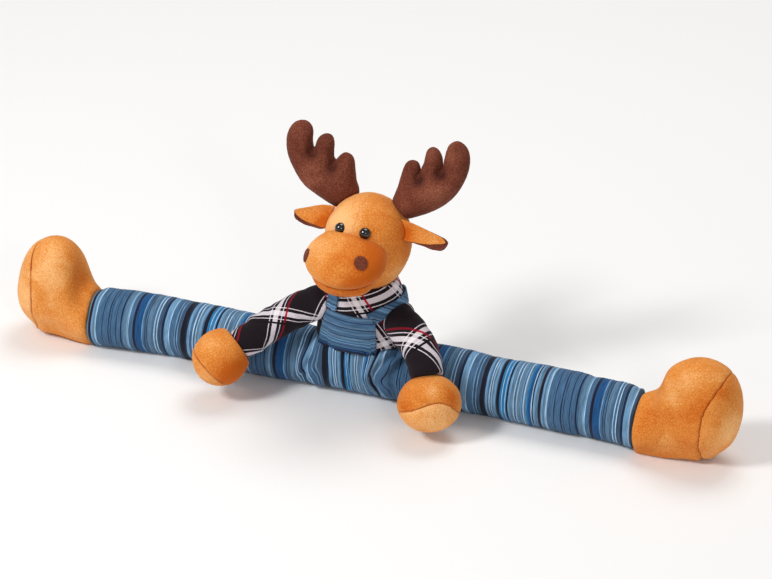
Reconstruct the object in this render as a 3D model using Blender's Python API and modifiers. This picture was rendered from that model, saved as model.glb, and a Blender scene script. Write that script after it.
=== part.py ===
"""Draught excluder: a stuffed elk in dungarees whose striped trouser legs lie along the foot of a door.

Blender 4.5, metres, +Z up. The legs run along X and rest on Z = 0, and the elk faces -Y.
Run it with: blender --background --python part.py
"""

import math

import bmesh
import bpy
import numpy as np
from mathutils import Matrix, Vector
from mathutils.geometry import delaunay_2d_cdt

MM = 0.001
OBJECT_NAME = "DraughtExcluder"

# Gap that two sewn pieces keep where their skins meet.
SEWN_GAP = 0.3 * MM
# Cloth thickness of the sheets: bib, straps and ears.
CLOTH = 2.0 * MM
# Air under the sheets that lie on the stuffed body.
SHEET_CLEARANCE = 0.7 * MM
# How far a sheet's cutter reaches down into the body below it.
SHEET_BACKING = 5.0 * MM

# The trouser legs: one stuffed tube from ankle seam to ankle seam.
LEG_RADIUS = 34.0 * MM
LEG_AXIS_Z = 31.5 * MM
LEG_HALF_LENGTH = 324.0 * MM
LEG_STEP = 13.0 * MM
# The gathered cloth of the lap has closer sections.
LAP_HALF = 78.0 * MM
LAP_STEP = 5.5 * MM
LEG_SIDES = 24
# Cloth that is lower than this settles on the floor.
LEG_SETTLES_BELOW = 5.0 * MM

# How the stuffing fills the legs, in mm: x, drift of the axis along Y, and radius as a share.
LEG_FILL = (
    # x,     drift, share
    (-324.0, 1.0, 0.955),
    (-312.0, 3.0, 1.010),
    (-280.0, 7.0, 1.005),
    (-232.0, 10.0, 0.970),
    (-185.0, 8.0, 0.990),
    (-110.0, 4.0, 1.015),
    (-60.0, 5.0, 1.005),
    (-10.0, 7.0, 0.980),
    (30.0, 5.0, 1.000),
    (60.0, 6.0, 1.000),
    (90.0, 9.0, 0.985),
    (135.0, 7.0, 1.005),
    (152.0, 6.0, 0.960),
    (200.0, 6.0, 1.000),
    (250.0, 5.0, 1.020),
    (262.0, 4.0, 0.980),
    (310.0, 3.0, 1.010),
    (324.0, 2.0, 0.955),
)

# Creases in the legs, in mm and degrees: where each crosses the front, how deep, its half width,
# how far it leans along X over the tube's height, and the arc of the front that it covers.
LEG_CREASES = (
    # x,     depth, half, lean, centre, spread
    (-214.0, 1.8, 9.0, -4.0, 180.0, 170.0),
    (-72.0, 2.2, 9.0, 8.0, 170.0, 80.0),
    (-50.0, 4.6, 6.0, 12.0, 158.0, 62.0),
    (-32.0, 3.0, 5.5, 5.0, 165.0, 48.0),
    (-12.0, 2.4, 5.5, 2.0, 170.0, 45.0),
    (8.0, 2.6, 5.5, -3.0, 168.0, 46.0),
    (26.0, 5.6, 6.5, -15.0, 165.0, 66.0),
    (46.0, 3.2, 7.0, -10.0, 165.0, 60.0),
    (68.0, 2.0, 8.0, -6.0, 175.0, 70.0),
    (145.0, 3.0, 9.0, 6.0, 180.0, 170.0),
    (257.0, 2.2, 9.0, 4.0, 180.0, 150.0),
)

# The hips: the trousers' waist stands up round the shirt body, in mm and degrees.
HIP_MIDDLE_X = -3.0
HIP_HALF = 57.0
HIP_FADE = 16.0
HIP_BULGE = 13.5
HIP_ANGLES = (44.0, 136.0)
HIP_ANGLE_WIDTH = 27.0

# One boot-shaped foot from its ankle seam outwards, in mm: how far out, the lowest and highest
# point, the half width of the heel and of the toe ball, and the half width between them.
FOOT_SECTIONS = (
    # out,  low,  high,  heel, toe,  waist
    (0.3, 1.5, 63.0, 31.5, 26.0, 31.0),
    (4.0, 0.0, 67.0, 34.5, 28.0, 34.0),
    (12.0, 0.0, 70.0, 35.5, 30.0, 35.0),
    (19.0, 0.0, 79.0, 35.5, 32.0, 34.0),
    (27.0, 0.0, 100.0, 36.0, 35.0, 33.5),
    (36.0, 0.0, 113.5, 36.5, 37.5, 34.5),
    (47.0, 0.0, 121.5, 37.0, 39.0, 36.0),
    (59.0, 0.0, 124.0, 37.0, 39.5, 37.0),
    (70.0, 0.5, 122.0, 36.5, 38.5, 37.0),
    (81.0, 4.0, 117.0, 34.0, 36.0, 35.0),
    (90.0, 11.0, 109.5, 30.0, 32.0, 31.5),
    (97.0, 20.0, 100.0, 25.0, 26.0, 26.0),
    (102.5, 31.0, 88.0, 18.0, 18.0, 18.5),
    (105.5, 45.0, 74.0, 9.0, 9.0, 9.5),
)
FOOT_TIP_OUT = 106.5
FOOT_TIP_Z = 59.5
FOOT_SIDES = 24
FOOT_LEAN_ABOVE = 30.0
FOOT_SETTLES_BELOW = 9.0
# How each boot sits: its side, how full it is lengthwise, how far its toe leans outwards for each
# unit of height, its drift along Y, and where and how steeply the sole's seam rises.
FEET = {
    "left": {"side": -1, "fill": 0.900, "toe_lean": -0.08, "drift": 2.0, "seam_out": 70.0, "seam_lean": -4.0},
    "right": {"side": 1, "fill": 1.060, "toe_lean": 0.08, "drift": -4.0, "seam_out": 77.0, "seam_lean": 11.0},
}

# The shirt body, in mm: height, centre x and y, half width and half depth.
BODY_SECTIONS = (
    # z,    cx,   cy,  half_x, half_y
    (44.0, -5.0, 6.0, 50.0, 33.0),
    (66.0, -4.5, 6.0, 51.0, 34.0),
    (90.0, -2.5, 6.0, 50.5, 34.5),
    (112.0, 0.5, 5.5, 49.0, 34.0),
    (128.0, 1.5, 5.0, 46.0, 33.0),
    (139.0, 1.5, 5.0, 42.0, 31.0),
    (147.0, 1.5, 5.0, 37.0, 28.0),
    (153.0, 2.0, 5.0, 29.0, 22.0),
    (156.0, 2.0, 5.0, 18.0, 14.0),
)
BODY_SIDES = 28
BODY_RINGS_PER_SPAN = 2

# The bib on the chest, in mm: height of its edge and the angle round the body of its two sides.
BIB_EDGES = (
    # z,    left_deg, right_deg
    (60.0, -60.0, 42.0),
    (80.0, -57.0, 40.0),
    (96.0, -53.0, 37.0),
    (111.0, -51.0, 34.0),
)
BIB_COLUMNS = 14
BIB_ROWS = 6

# The shoulder straps, in mm and degrees: the angle round the body and the height of the middle line,
# from the bib over the shoulder to the waist at the back.
STRAP_WIDTH = 14.5 * MM
STRAP_LENGTHWISE = 24
STRAP_ACROSS = 2
STRAP_PATHS = {
    "strap_left": (
        # angle, z
        (-44.5, 113.0),
        (-44.0, 123.0),
        (-46.0, 132.0),
        (-60.0, 140.5),
        (-90.0, 144.0),
        (-122.0, 139.5),
        (-142.0, 128.0),
        (-152.0, 106.0),
        (-157.0, 84.0),
        (-159.0, 67.0),
    ),
    "strap_right": (
        # angle, z
        (30.0, 109.5),
        (47.0, 117.0),
        (68.0, 122.5),
        (92.0, 125.0),
        (116.0, 123.0),
        (136.0, 114.0),
        (149.0, 99.0),
        (156.0, 82.0),
        (158.0, 67.0),
    ),
}

# Sleeves, in mm: the middle line from inside the shoulder to the wrist, and the radius there.
SLEEVES = {
    "sleeve_left": (
        # x,     y,     z,    radius
        (-26.0, 4.0, 112.0, 17.0),
        (-44.0, -2.0, 108.5, 19.5),
        (-62.0, -8.0, 101.0, 19.8),
        (-80.0, -17.0, 91.5, 19.4),
        (-97.0, -28.0, 81.0, 19.4),
        (-113.0, -41.0, 70.5, 19.2),
        (-126.5, -54.0, 61.0, 17.6),
    ),
    "sleeve_right": (
        # x,    y,     z,    radius
        (24.0, 4.0, 110.0, 18.0),
        (43.0, -5.0, 105.0, 20.5),
        (61.0, -17.0, 97.0, 20.8),
        (78.0, -30.0, 88.0, 20.6),
        (88.5, -42.5, 77.0, 19.8),
        (95.0, -52.0, 66.5, 18.2),
    ),
}
SLEEVE_RINGS = 14
SLEEVE_SIDES = 18

# Hands, in mm: middle, half sizes along the arm, across it and through the palm, and the plane
# of the palm's seam as the way it faces and its distance from the middle.
HANDS = {
    "left": {
        "middle": (-143.0, -65.5, 50.0),
        "half": (33.5, 32.0, 32.0),
        "palm_faces": (-0.62, -0.42, -0.66),
        "palm_at": 16.0,
        "wrist_at": -21.0,
    },
    "right": {
        "middle": (102.5, -65.5, 42.0),
        "half": (32.5, 36.5, 32.0),
        "palm_faces": (0.10, -0.36, -0.93),
        "palm_at": 9.0,
        "wrist_at": -24.0,
    },
}

# The head, in mm and degrees. Yaw turns the face towards -X.
HEAD_MIDDLE = Vector((5.0 * MM, 6.0 * MM, 194.0 * MM))
HEAD_YAW = -5.0
SKULL_HALF = (49.0, 49.0, 49.5)
JAW_DROP = 1.24
MUZZLE_HALF = (46.5, 41.0, 27.5)
MUZZLE_AT = (-3.0, -51.0, -3.5)
MUZZLE_TILT = 8.0
CHIN_HALF = (38.0, 31.0, 22.0)
CHIN_AT = (-7.0, -47.0, -26.0)
EYE_RADIUS = 6.5 * MM
EYE_ANGLES = {"left": -23.0, "right": 20.0}
EYE_RISE = 33.0
NOSTRIL_HALF = (8.0, 8.8, 2.6)
NOSTRIL_WAYS = {"left": (-66.0, 10.0), "right": (55.0, 25.0)}
EYE_SUNK = 1.5 * MM

# Antler outline, in mm from the head's middle plane and from the ground, round from its foot.
ANTLER_OUTLINE = (
    # out,  z
    (34.0, 214.0),
    (54.0, 221.0),
    (76.0, 233.0),
    (93.5, 251.0),
    (103.5, 271.5),
    (106.5, 292.0),
    (101.0, 308.0),
    (89.0, 314.5),
    (79.5, 308.5),
    (77.0, 296.0),
    (75.0, 278.0),
    (71.0, 296.0),
    (61.0, 302.5),
    (52.5, 295.0),
    (51.0, 267.5),
    (43.0, 282.5),
    (33.0, 281.5),
    (28.0, 272.0),
    (25.0, 252.0),
    (18.0, 230.0),
)
ANTLER_STEP = 7.0 * MM
# Rounds of easing that take the corners out of the stuffed skin.
ANTLER_EASING = 2
# Rows of points that follow the seam, so that the rounded edge is even.
RIM_STEPS = (1.3 * MM, 4.0 * MM)
ANTLER_FOOT_Z = 214.0 * MM
ANTLER_FOOT_Y = 24.0 * MM
ANTLER_LEAN = 7.0
# How each antler differs: the share of its height above the foot, its spread from its inner edge, and
# how far it splays outwards for each unit of height.
ANTLERS = {
    "left": {"rise": 0.945, "spread": 1.04, "splay": -0.055},
    "right": {"rise": 1.0, "spread": 0.965, "splay": 0.05},
}
ANTLER_INNER = 18.0

# An ear along its length, in mm: distance from its root, drop of its middle and half width.
EAR_PROFILE = (
    # along, drop, half
    (0.0, 0.0, 12.2),
    (10.0, 0.4, 12.0),
    (20.0, 1.2, 10.8),
    (30.0, 2.4, 9.0),
    (38.0, 3.6, 7.0),
    (44.0, 4.7, 4.8),
    (47.5, 5.3, 2.8),
)
# The ear's cup across its width, from the lower edge to the upper one.
EAR_CUP = (
    # forward, up, as shares of the half width
    (0.42, -1.00),
    (0.14, -0.72),
    (-0.02, -0.36),
    (-0.06, 0.00),
    (-0.02, 0.36),
    (0.10, 0.70),
    (0.30, 1.00),
)
# Each ear's root on the head, and the share of its half width that hangs below its middle line.
EARS = {
    "left": {"root": (-39.5, -1.0, 17.0), "hangs": 1.0},
    "right": {"root": (44.0, -1.0, 18.5), "hangs": 0.72},
}
EAR_TILT = 18.0
# How far the brown lining rolls out past the lower edge and the tip.
EAR_ROLL = 2.6

# Materials: name, colour, roughness and metallic value.
MATERIALS = {
    "striped_denim": ((0.102, 0.205, 0.342), 0.92, 0.0),
    "orange_plush": ((0.800, 0.300, 0.046), 0.95, 0.0),
    "plaid_flannel": ((0.055, 0.050, 0.062), 0.93, 0.0),
    "brown_plush": ((0.145, 0.043, 0.025), 0.95, 0.0),
    "black_bead": ((0.006, 0.006, 0.007), 0.12, 0.0),
}


def smooth_step(share):
    """0 at or below 0, 1 at or above 1, with level ends."""
    share = min(max(share, 0.0), 1.0)
    return share * share * (3 - 2 * share)


def follow(table, key, entry):
    """One entry of a table's rows, read at a value of their first entry and eased between rows."""
    for low, high in zip(table, table[1:]):
        if key <= high[0]:
            break
    share = smooth_step((key - low[0]) / (high[0] - low[0]))
    return low[entry] + (high[entry] - low[entry]) * share


def column(table, index):
    return [row[index] for row in table]


def between(values, parts):
    """A list of values with each span parted evenly."""
    found = [values[0]]
    for low, high in zip(values, values[1:]):
        found.extend(low + (high - low) * part / parts for part in range(1, parts + 1))
    return found


def curve_point(a, b, c, d, share):
    """A place between b and c on a smooth curve that also passes a and d."""
    bend = (2 * a - 5 * b + 4 * c - d) * share**2 + (3 * b - a - 3 * c + d) * share**3
    return 0.5 * (2 * b + (c - a) * share + bend)


def spline(rows, count):
    """A smooth curve through rows of numbers, read at evenly spread places."""
    points = [np.array(row, float) for row in rows]
    points = [2 * points[0] - points[1], *points, 2 * points[-1] - points[-2]]
    found = []
    for place in np.linspace(0, len(rows) - 1, count):
        index = min(int(place), len(rows) - 2)
        found.append(curve_point(*points[index : index + 4], place - index))
    return found


def closed_spline(rows, per_span):
    """A smooth closed curve through rows of numbers."""
    points = [np.array(row, float) for row in rows]
    count = len(points)
    found = []
    for index in range(count):
        near = [points[(index + step) % count] for step in (-1, 0, 1, 2)]
        found.extend(curve_point(*near, part / per_span) for part in range(per_span))
    return found


def reset_scene():
    for obj in list(bpy.data.objects):
        bpy.data.objects.remove(obj, do_unlink=True)
    collections = {}
    for name in (OBJECT_NAME, "Cutters"):
        collection = bpy.data.collections.new(name)
        bpy.context.scene.collection.children.link(collection)
        collections[name] = collection
    return collections


COLLECTIONS = reset_scene()


def finish_for(name):
    """The material of a sub-part, made once."""
    material = bpy.data.materials.get(name)
    if material is None:
        colour, roughness, metallic = MATERIALS[name]
        material = bpy.data.materials.new(name)
        material.use_nodes = True
        shader = material.node_tree.nodes["Principled BSDF"]
        shader.inputs["Base Color"].default_value = (*colour, 1.0)
        shader.inputs["Roughness"].default_value = roughness
        shader.inputs["Metallic"].default_value = metallic
        material.diffuse_color = (*colour, 1.0)
    return material


def make_object(name, bm, finish):
    """Turn a bmesh into a named sub-part with its finish.

    Its faces are triangles, so that a piece and the cutter made from it bend along the same lines.
    """
    bmesh.ops.recalc_face_normals(bm, faces=bm.faces)
    bmesh.ops.triangulate(bm, faces=bm.faces)
    mesh = bpy.data.meshes.new(name)
    bm.to_mesh(mesh)
    bm.free()
    mesh.shade_smooth()
    obj = bpy.data.objects.new(name, mesh)
    mesh.materials.append(finish_for(finish))
    COLLECTIONS[OBJECT_NAME].objects.link(obj)
    return obj


def loft(rings, tip=None, closed=True):
    """Skin a list of rings. The first ring is capped flat, the last one too or drawn to a tip."""
    bm = bmesh.new()
    rows = [[bm.verts.new(point) for point in ring] for ring in rings]
    for near, far in zip(rows, rows[1:]):
        for index in range(len(near) if closed else len(near) - 1):
            after = (index + 1) % len(near)
            bm.faces.new((near[index], near[after], far[after], far[index]))
    if closed:
        bm.faces.new(rows[0])
        if tip is None:
            bm.faces.new(rows[-1])
        else:
            peak = bm.verts.new(tip)
            last = rows[-1]
            for index in range(len(last)):
                bm.faces.new((last[index], last[(index + 1) % len(last)], peak))
    return bm


def grown_cutter(obj, gap=SEWN_GAP):
    """A copy of a stuffed piece, grown by the sewn gap, which cuts what is sewn against it."""
    name = f"{obj.name}_cutter"
    cutter = bpy.data.objects.get(name)
    if cutter is None:
        cutter = obj.copy()
        cutter.name = name
        COLLECTIONS["Cutters"].objects.link(cutter)
        grow = cutter.modifiers.new("grow", "DISPLACE")
        grow.mid_level = 0.0
        grow.strength = gap
        grow.direction = "NORMAL"
        cutter.hide_render = True
        cutter.display_type = "WIRE"
    return cutter


def sheet_cutter(obj):
    """A cutter for a sheet that lies on the body: the sheet grown, and thick enough to reach into it."""
    cutter = grown_cutter(obj)
    cloth = cutter.modifiers["cloth"]
    cloth.thickness = CLOTH + SHEET_BACKING
    cloth.offset = (CLOTH - SHEET_BACKING) / (CLOTH + SHEET_BACKING)
    return cutter


def cut_by(obj, *others):
    """Cut a piece where it is sewn against others."""
    for other in others:
        cut = obj.modifiers.new(f"against_{other.name}", "BOOLEAN")
        cut.operation = "DIFFERENCE"
        cut.solver = "EXACT"
        cut.object = grown_cutter(other)
    return obj


def keep_side(bm, point, normal):
    """Keep the part of a closed mesh on the side that the normal points to, and cap it."""
    geometry = list(bm.verts) + list(bm.edges) + list(bm.faces)
    bmesh.ops.bisect_plane(bm, geom=geometry, dist=1e-7, plane_co=point, plane_no=normal, clear_inner=True)
    rim = [edge for edge in bm.edges if edge.is_boundary]
    bmesh.ops.holes_fill(bm, edges=rim, sides=0)
    return bm


def crease_depth(x, angle):
    """How far the creases draw the legs' cloth in, at x and an angle round the tube."""
    depth = 0.0
    for where, deep, half, lean, centre, spread in LEG_CREASES:
        off = abs((math.degrees(angle) - centre + 180) % 360 - 180)
        if off < spread:
            along = (x - where * MM + lean * MM * math.sin(angle)) / (half * MM)
            depth += deep * MM * math.exp(-along * along) * math.cos(math.radians(90 * off / spread))
    return depth


def hip_bulge(x, angle):
    """How far the waist stands out from the tube."""
    along = smooth_step((HIP_HALF - abs(x / MM - HIP_MIDDLE_X)) / HIP_FADE)
    round_it = sum(math.exp(-(((math.degrees(angle) - at) / HIP_ANGLE_WIDTH) ** 2)) for at in HIP_ANGLES)
    return HIP_BULGE * MM * along * round_it


def settled(z, below):
    """A height, or the floor where the cloth there is low enough to settle on it."""
    return z if z > below else 0.0


def leg_ring(x):
    """The tube's section at x. Angle 180 faces the front."""
    drift = follow(LEG_FILL, x / MM, 1) * MM
    radius = LEG_RADIUS * follow(LEG_FILL, x / MM, 2)
    ring = []
    for index in range(LEG_SIDES):
        angle = math.tau * index / LEG_SIDES
        reach = radius + hip_bulge(x, angle) - crease_depth(x, angle)
        y = drift + reach * math.cos(angle)
        z = LEG_AXIS_Z + reach * math.sin(angle)
        ring.append((x, y, settled(z, LEG_SETTLES_BELOW)))
    return ring


def make_trousers():
    outer = round((LEG_HALF_LENGTH - LAP_HALF) / LEG_STEP)
    middle = round(2 * LAP_HALF / LAP_STEP)
    left = [-LEG_HALF_LENGTH + (LEG_HALF_LENGTH - LAP_HALF) * index / outer for index in range(outer)]
    lap = [LAP_HALF * (2 * index / middle - 1) for index in range(middle + 1)]
    places = left + lap + [-x for x in reversed(left)]
    return make_object("trouser_tube", loft([leg_ring(x) for x in places]), "striped_denim")


def foot_place(boot, out, y, z):
    """A place in a boot, in metres, from how far out, how far aside and how high it is in mm."""
    out = out * boot["fill"] + boot["toe_lean"] * max(z - FOOT_LEAN_ABOVE, 0.0) * smooth_step(out / 20.0)
    return Vector((boot["side"] * (LEG_HALF_LENGTH + out * MM), (y + boot["drift"]) * MM, z * MM))


def foot_ring(section, boot):
    """A section of the boot: a heel and a toe ball, drawn together between them."""
    out, low, high, heel, toe, waist = section
    middle = (low + high) / 2
    reach = (high - low) / 2
    ring = []
    for index in range(FOOT_SIDES):
        angle = math.tau * index / FOOT_SIDES
        rise = math.sin(angle)
        end = toe if rise > 0 else heel
        half = waist + (end - waist) * smooth_step(abs(rise) * 1.3)
        ring.append(foot_place(boot, out, half * math.cos(angle), settled(middle + reach * rise, FOOT_SETTLES_BELOW)))
    return ring


def make_foot(word, boot):
    """The boot and the sole that is sewn to it, parted at the sole's seam."""
    side = boot["side"]
    lean = math.radians(boot["seam_lean"])
    seam = Vector((side * (LEG_HALF_LENGTH + boot["seam_out"] * MM), 0, 0))
    outward = Vector((side * math.cos(lean), 0, -math.sin(lean)))
    for name, facing in ((f"foot_{word}", -outward), (f"sole_{word}", outward)):
        rings = [foot_ring(section, boot) for section in FOOT_SECTIONS]
        whole = loft(rings, foot_place(boot, FOOT_TIP_OUT, 0.0, FOOT_TIP_Z))
        bm = keep_side(whole, seam + facing * SEWN_GAP / 2, facing)
        make_object(name, bm, "orange_plush")


def body_section(z):
    """Centre and half sizes of the shirt body at a height."""
    return [follow(BODY_SECTIONS, z / MM, entry) * MM for entry in (1, 2, 3, 4)]


def make_body(trousers, skull):
    rings = []
    for z in between(column(BODY_SECTIONS, 0), BODY_RINGS_PER_SPAN):
        cx, cy, half_x, half_y = body_section(z * MM)
        turns = [math.tau * index / BODY_SIDES for index in range(BODY_SIDES)]
        rings.append([(cx + half_x * math.cos(a), cy + half_y * math.sin(a), z * MM) for a in turns])
    body = make_object("shirt_body", loft(rings), "plaid_flannel")
    return cut_by(body, trousers, skull)


def skin_point(start, way, proud):
    """Where a ray from inside the shirt body leaves it, moved on by proud."""
    near = 0.0
    far = 0.12
    for _ in range(30):
        middle = (near + far) / 2
        point = start + way * middle
        cx, cy, half_x, half_y = body_section(point.z)
        if ((point.x - cx) / half_x) ** 2 + ((point.y - cy) / half_y) ** 2 < 1:
            near = middle
        else:
            far = middle
    return start + way * (near + proud)


def make_sheet(name, rows, finish):
    """An open grid of points, thickened into a sheet of cloth on its outer side."""
    sheet = make_object(name, loft(rows, closed=False), finish)
    thicken = sheet.modifiers.new("cloth", "SOLIDIFY")
    thicken.thickness = CLOTH
    thicken.offset = 1.0
    return sheet


def make_bib():
    rows = []
    low, high = BIB_EDGES[0][0], BIB_EDGES[-1][0]
    for row in range(BIB_ROWS + 1):
        z = low + (high - low) * row / BIB_ROWS
        left, right = (math.radians(follow(BIB_EDGES, z, edge)) for edge in (1, 2))
        angles = [left + (right - left) * step / BIB_COLUMNS for step in range(BIB_COLUMNS + 1)]
        rows.append([body_point(angle, z * MM, SHEET_CLEARANCE) for angle in angles])
    return make_sheet("bib", rows, "striped_denim")


def body_point(angle, z, proud):
    """A place over the shirt body's skin, at an angle from the front and a height."""
    cx, cy, _, _ = body_section(z)
    return skin_point(Vector((cx, cy, z)), Vector((math.sin(angle), -math.cos(angle), 0)), proud)


def make_strap(name, path):
    """A strap from the bib over the shoulder and down the back."""
    line = [(math.radians(row[0]), row[1] * MM) for row in spline(path, STRAP_LENGTHWISE + 1)]
    middle = [body_point(angle, z, SHEET_CLEARANCE) for angle, z in line]
    rows = []
    for step, (angle, _) in enumerate(line):
        along = (middle[min(step + 1, len(line) - 1)] - middle[max(step - 1, 0)]).normalized()
        outward = Vector((math.sin(angle), -math.cos(angle), 0))
        across = outward.cross(along).normalized()
        points = []
        for share in range(STRAP_ACROSS + 1):
            spot = middle[step] + across * STRAP_WIDTH * (share / STRAP_ACROSS - 0.5)
            cx, cy, _, _ = body_section(spot.z)
            points.append(body_point(math.atan2(spot.x - cx, -(spot.y - cy)), spot.z, SHEET_CLEARANCE))
        rows.append(points)
    return make_sheet(name, rows, "striped_denim")


def ring_round(middle, way, radius, sides):
    """A ring of points round a middle line."""
    side = way.cross(Vector((0, 0, 1))).normalized()
    up = side.cross(way).normalized()
    turns = [math.tau * index / sides for index in range(sides)]
    return [middle + side * radius * math.cos(a) + up * radius * math.sin(a) for a in turns]


def sleeve_line(name):
    """The sleeve's middle line and radii, in metres."""
    return [(Vector(row[:3]) * MM, row[3] * MM) for row in spline(SLEEVES[name], SLEEVE_RINGS)]


def wrist_way(name):
    line = sleeve_line(name)
    return (line[-1][0] - line[-2][0]).normalized()


def make_sleeve(name, neighbours):
    line = sleeve_line(name)
    rings = []
    for index, (middle, radius) in enumerate(line):
        before = line[max(index - 1, 0)][0]
        after = line[min(index + 1, len(line) - 1)][0]
        rings.append(ring_round(middle, (after - before).normalized(), radius, SLEEVE_SIDES))
    sleeve = make_object(name, loft(rings), "plaid_flannel")
    return cut_by(sleeve, *neighbours)


def stuffed_ball(half, middle, turn, segments, rings):
    """A ball with three half sizes in mm, turned and put in its place."""
    bm = bmesh.new()
    bmesh.ops.create_uvsphere(bm, u_segments=segments, v_segments=rings, radius=1.0)
    scale = Matrix.Diagonal((*(size * MM for size in half), 1.0))
    bmesh.ops.transform(bm, matrix=Matrix.Translation(middle) @ turn.to_4x4() @ scale, verts=bm.verts)
    return bm


def make_hand(word, sleeve_name):
    """The hand's upper panel and its palm, parted at the palm's seam and flat at the wrist."""
    size = HANDS[word]
    middle = Vector(size["middle"]) * MM
    wrist = sleeve_line(sleeve_name)[-1][0]
    way = wrist_way(sleeve_name)
    side = way.cross(Vector((0, 0, 1))).normalized()
    turn = Matrix((way, side, way.cross(side))).transposed()
    faces = Vector(size["palm_faces"]).normalized()
    seam = middle + faces * size["palm_at"] * MM
    for name, facing in ((f"hand_{word}", -faces), (f"palm_{word}", faces)):
        bm = stuffed_ball(size["half"], middle, turn, 20, 14)
        keep_side(bm, wrist + way * SEWN_GAP, way)
        keep_side(bm, seam + facing * SEWN_GAP / 2, facing)
        make_object(name, bm, "orange_plush")


HEAD_TURN = Matrix.Rotation(math.radians(HEAD_YAW), 3, "Z")


def on_head(offset):
    """A place given in mm from the head's middle, in the head's own turned directions."""
    return HEAD_MIDDLE + HEAD_TURN @ (Vector(offset) * MM)


def way_from(angle, rise):
    """The way that points forward, turned by angle towards +X and raised by rise."""
    turn, lift = math.radians(angle), math.radians(rise)
    return Vector((math.sin(turn) * math.cos(lift), -math.cos(turn) * math.cos(lift), math.sin(lift)))


def make_skull():
    bm = stuffed_ball(SKULL_HALF, HEAD_MIDDLE, HEAD_TURN, 24, 16)
    for vertex in bm.verts:
        below = HEAD_MIDDLE.z - vertex.co.z
        if below > 0:
            vertex.co.z = HEAD_MIDDLE.z - below * JAW_DROP
    return make_object("head", bm, "orange_plush")


def make_muzzle(skull):
    turn = HEAD_TURN @ Matrix.Rotation(math.radians(MUZZLE_TILT), 3, "X")
    muzzle = make_object("muzzle", stuffed_ball(MUZZLE_HALF, on_head(MUZZLE_AT), turn, 24, 14), "orange_plush")
    return cut_by(muzzle, skull)


def make_chin(skull, muzzle_whole):
    chin = make_object("chin", stuffed_ball(CHIN_HALF, on_head(CHIN_AT), HEAD_TURN, 18, 12), "orange_plush")
    return cut_by(chin, skull, muzzle_whole)


def make_eye(word, skull, muzzle):
    way = way_from(EYE_ANGLES[word], EYE_RISE)
    middle = on_head(way * (SKULL_HALF[0] - EYE_SUNK / MM))
    bm = bmesh.new()
    bmesh.ops.create_uvsphere(bm, u_segments=14, v_segments=8, radius=EYE_RADIUS)
    bmesh.ops.transform(bm, matrix=Matrix.Translation(middle), verts=bm.verts)
    return cut_by(make_object(f"eye_{word}", bm, "black_bead"), skull, muzzle)


def make_nostril(word, muzzle):
    """A round felt patch, domed a little, on the front of the muzzle."""
    way = way_from(*NOSTRIL_WAYS[word])
    half = Vector(MUZZLE_HALF)
    reach = 1 / math.sqrt(sum((way[axis] / half[axis]) ** 2 for axis in range(3)))
    spot = way * reach
    normal = Vector(spot[axis] / half[axis] ** 2 for axis in range(3)).normalized()
    turn = HEAD_TURN @ Matrix.Rotation(math.radians(MUZZLE_TILT), 3, "X")
    middle = on_head(MUZZLE_AT) + turn @ (spot * MM)
    facing = (turn @ normal).to_track_quat("Z", "Y").to_matrix()
    bm = stuffed_ball(NOSTRIL_HALF, middle, facing, 16, 8)
    return cut_by(make_object(f"nostril_{word}", bm, "brown_plush"), muzzle)


def inside(outline, point):
    """Whether a point is inside a closed outline."""
    x, y = point
    hit = False
    for (ax, ay), (bx, by) in zip(outline, outline[1:] + outline[:1]):
        if (ay > y) != (by > y) and x < ax + (bx - ax) * (y - ay) / (by - ay):
            hit = not hit
    return hit


def turn_of(outline):
    """1 where an outline runs anticlockwise, -1 where it runs clockwise."""
    area = sum(ax * by - bx * ay for (ax, ay), (bx, by) in zip(outline, outline[1:] + outline[:1]))
    return 1 if area > 0 else -1


def stuffed_height(points, triangles, rim):
    """Height of the filling over a flat panel: a soap film's height, which is 0 at the seam."""
    count = len(points)
    around = [set() for _ in range(count)]
    for a, b, c in triangles:
        around[a] |= {b, c}
        around[b] |= {a, c}
        around[c] |= {a, b}
    matrix = np.eye(count)
    load = np.zeros(count)
    for index in range(rim, count):
        weights = {other: 1 / (points[index] - points[other]).length_squared for other in around[index]}
        total = sum(weights.values())
        for other, weight in weights.items():
            matrix[index, other] = -weight / total
        load[index] = len(weights) / total / 4
    return np.sqrt(np.maximum(2 * np.linalg.solve(matrix, load), 0))


def flat_panel(outline, step):
    """Fill a closed outline with triangles about one step wide."""
    low = [min(point[axis] for point in outline) for axis in (0, 1)]
    high = [max(point[axis] for point in outline) for axis in (0, 1)]
    points = [Vector(point) for point in outline]
    rim = len(points)
    for depth in RIM_STEPS:
        for index in range(rim):
            along = (points[(index + 1) % rim] - points[index - 1]).normalized()
            spot = points[index] + Vector((-along.y, along.x)) * depth * turn_of(outline)
            clear = min((spot - point).length for point in points)
            if clear > depth * 0.45 and inside(outline, spot):
                points.append(spot)
    taken = len(points)
    rows = int((high[1] - low[1]) / (step * 0.87))
    for row in range(1, rows + 1):
        y = low[1] + row * step * 0.87
        shift = step / 2 if row % 2 else 0.0
        for place in range(int((high[0] - low[0]) / step) + 1):
            spot = Vector((low[0] + shift + place * step, y))
            clear = min((spot - points[index]).length for index in range(taken))
            if clear > step * 0.62 and inside(outline, spot):
                points.append(spot)
    edges = [(index, (index + 1) % rim) for index in range(rim)]
    found, _, faces, _, _, _ = delaunay_2d_cdt(points, edges, [list(range(rim))], 1, 1e-7)
    return found, faces, rim


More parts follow.
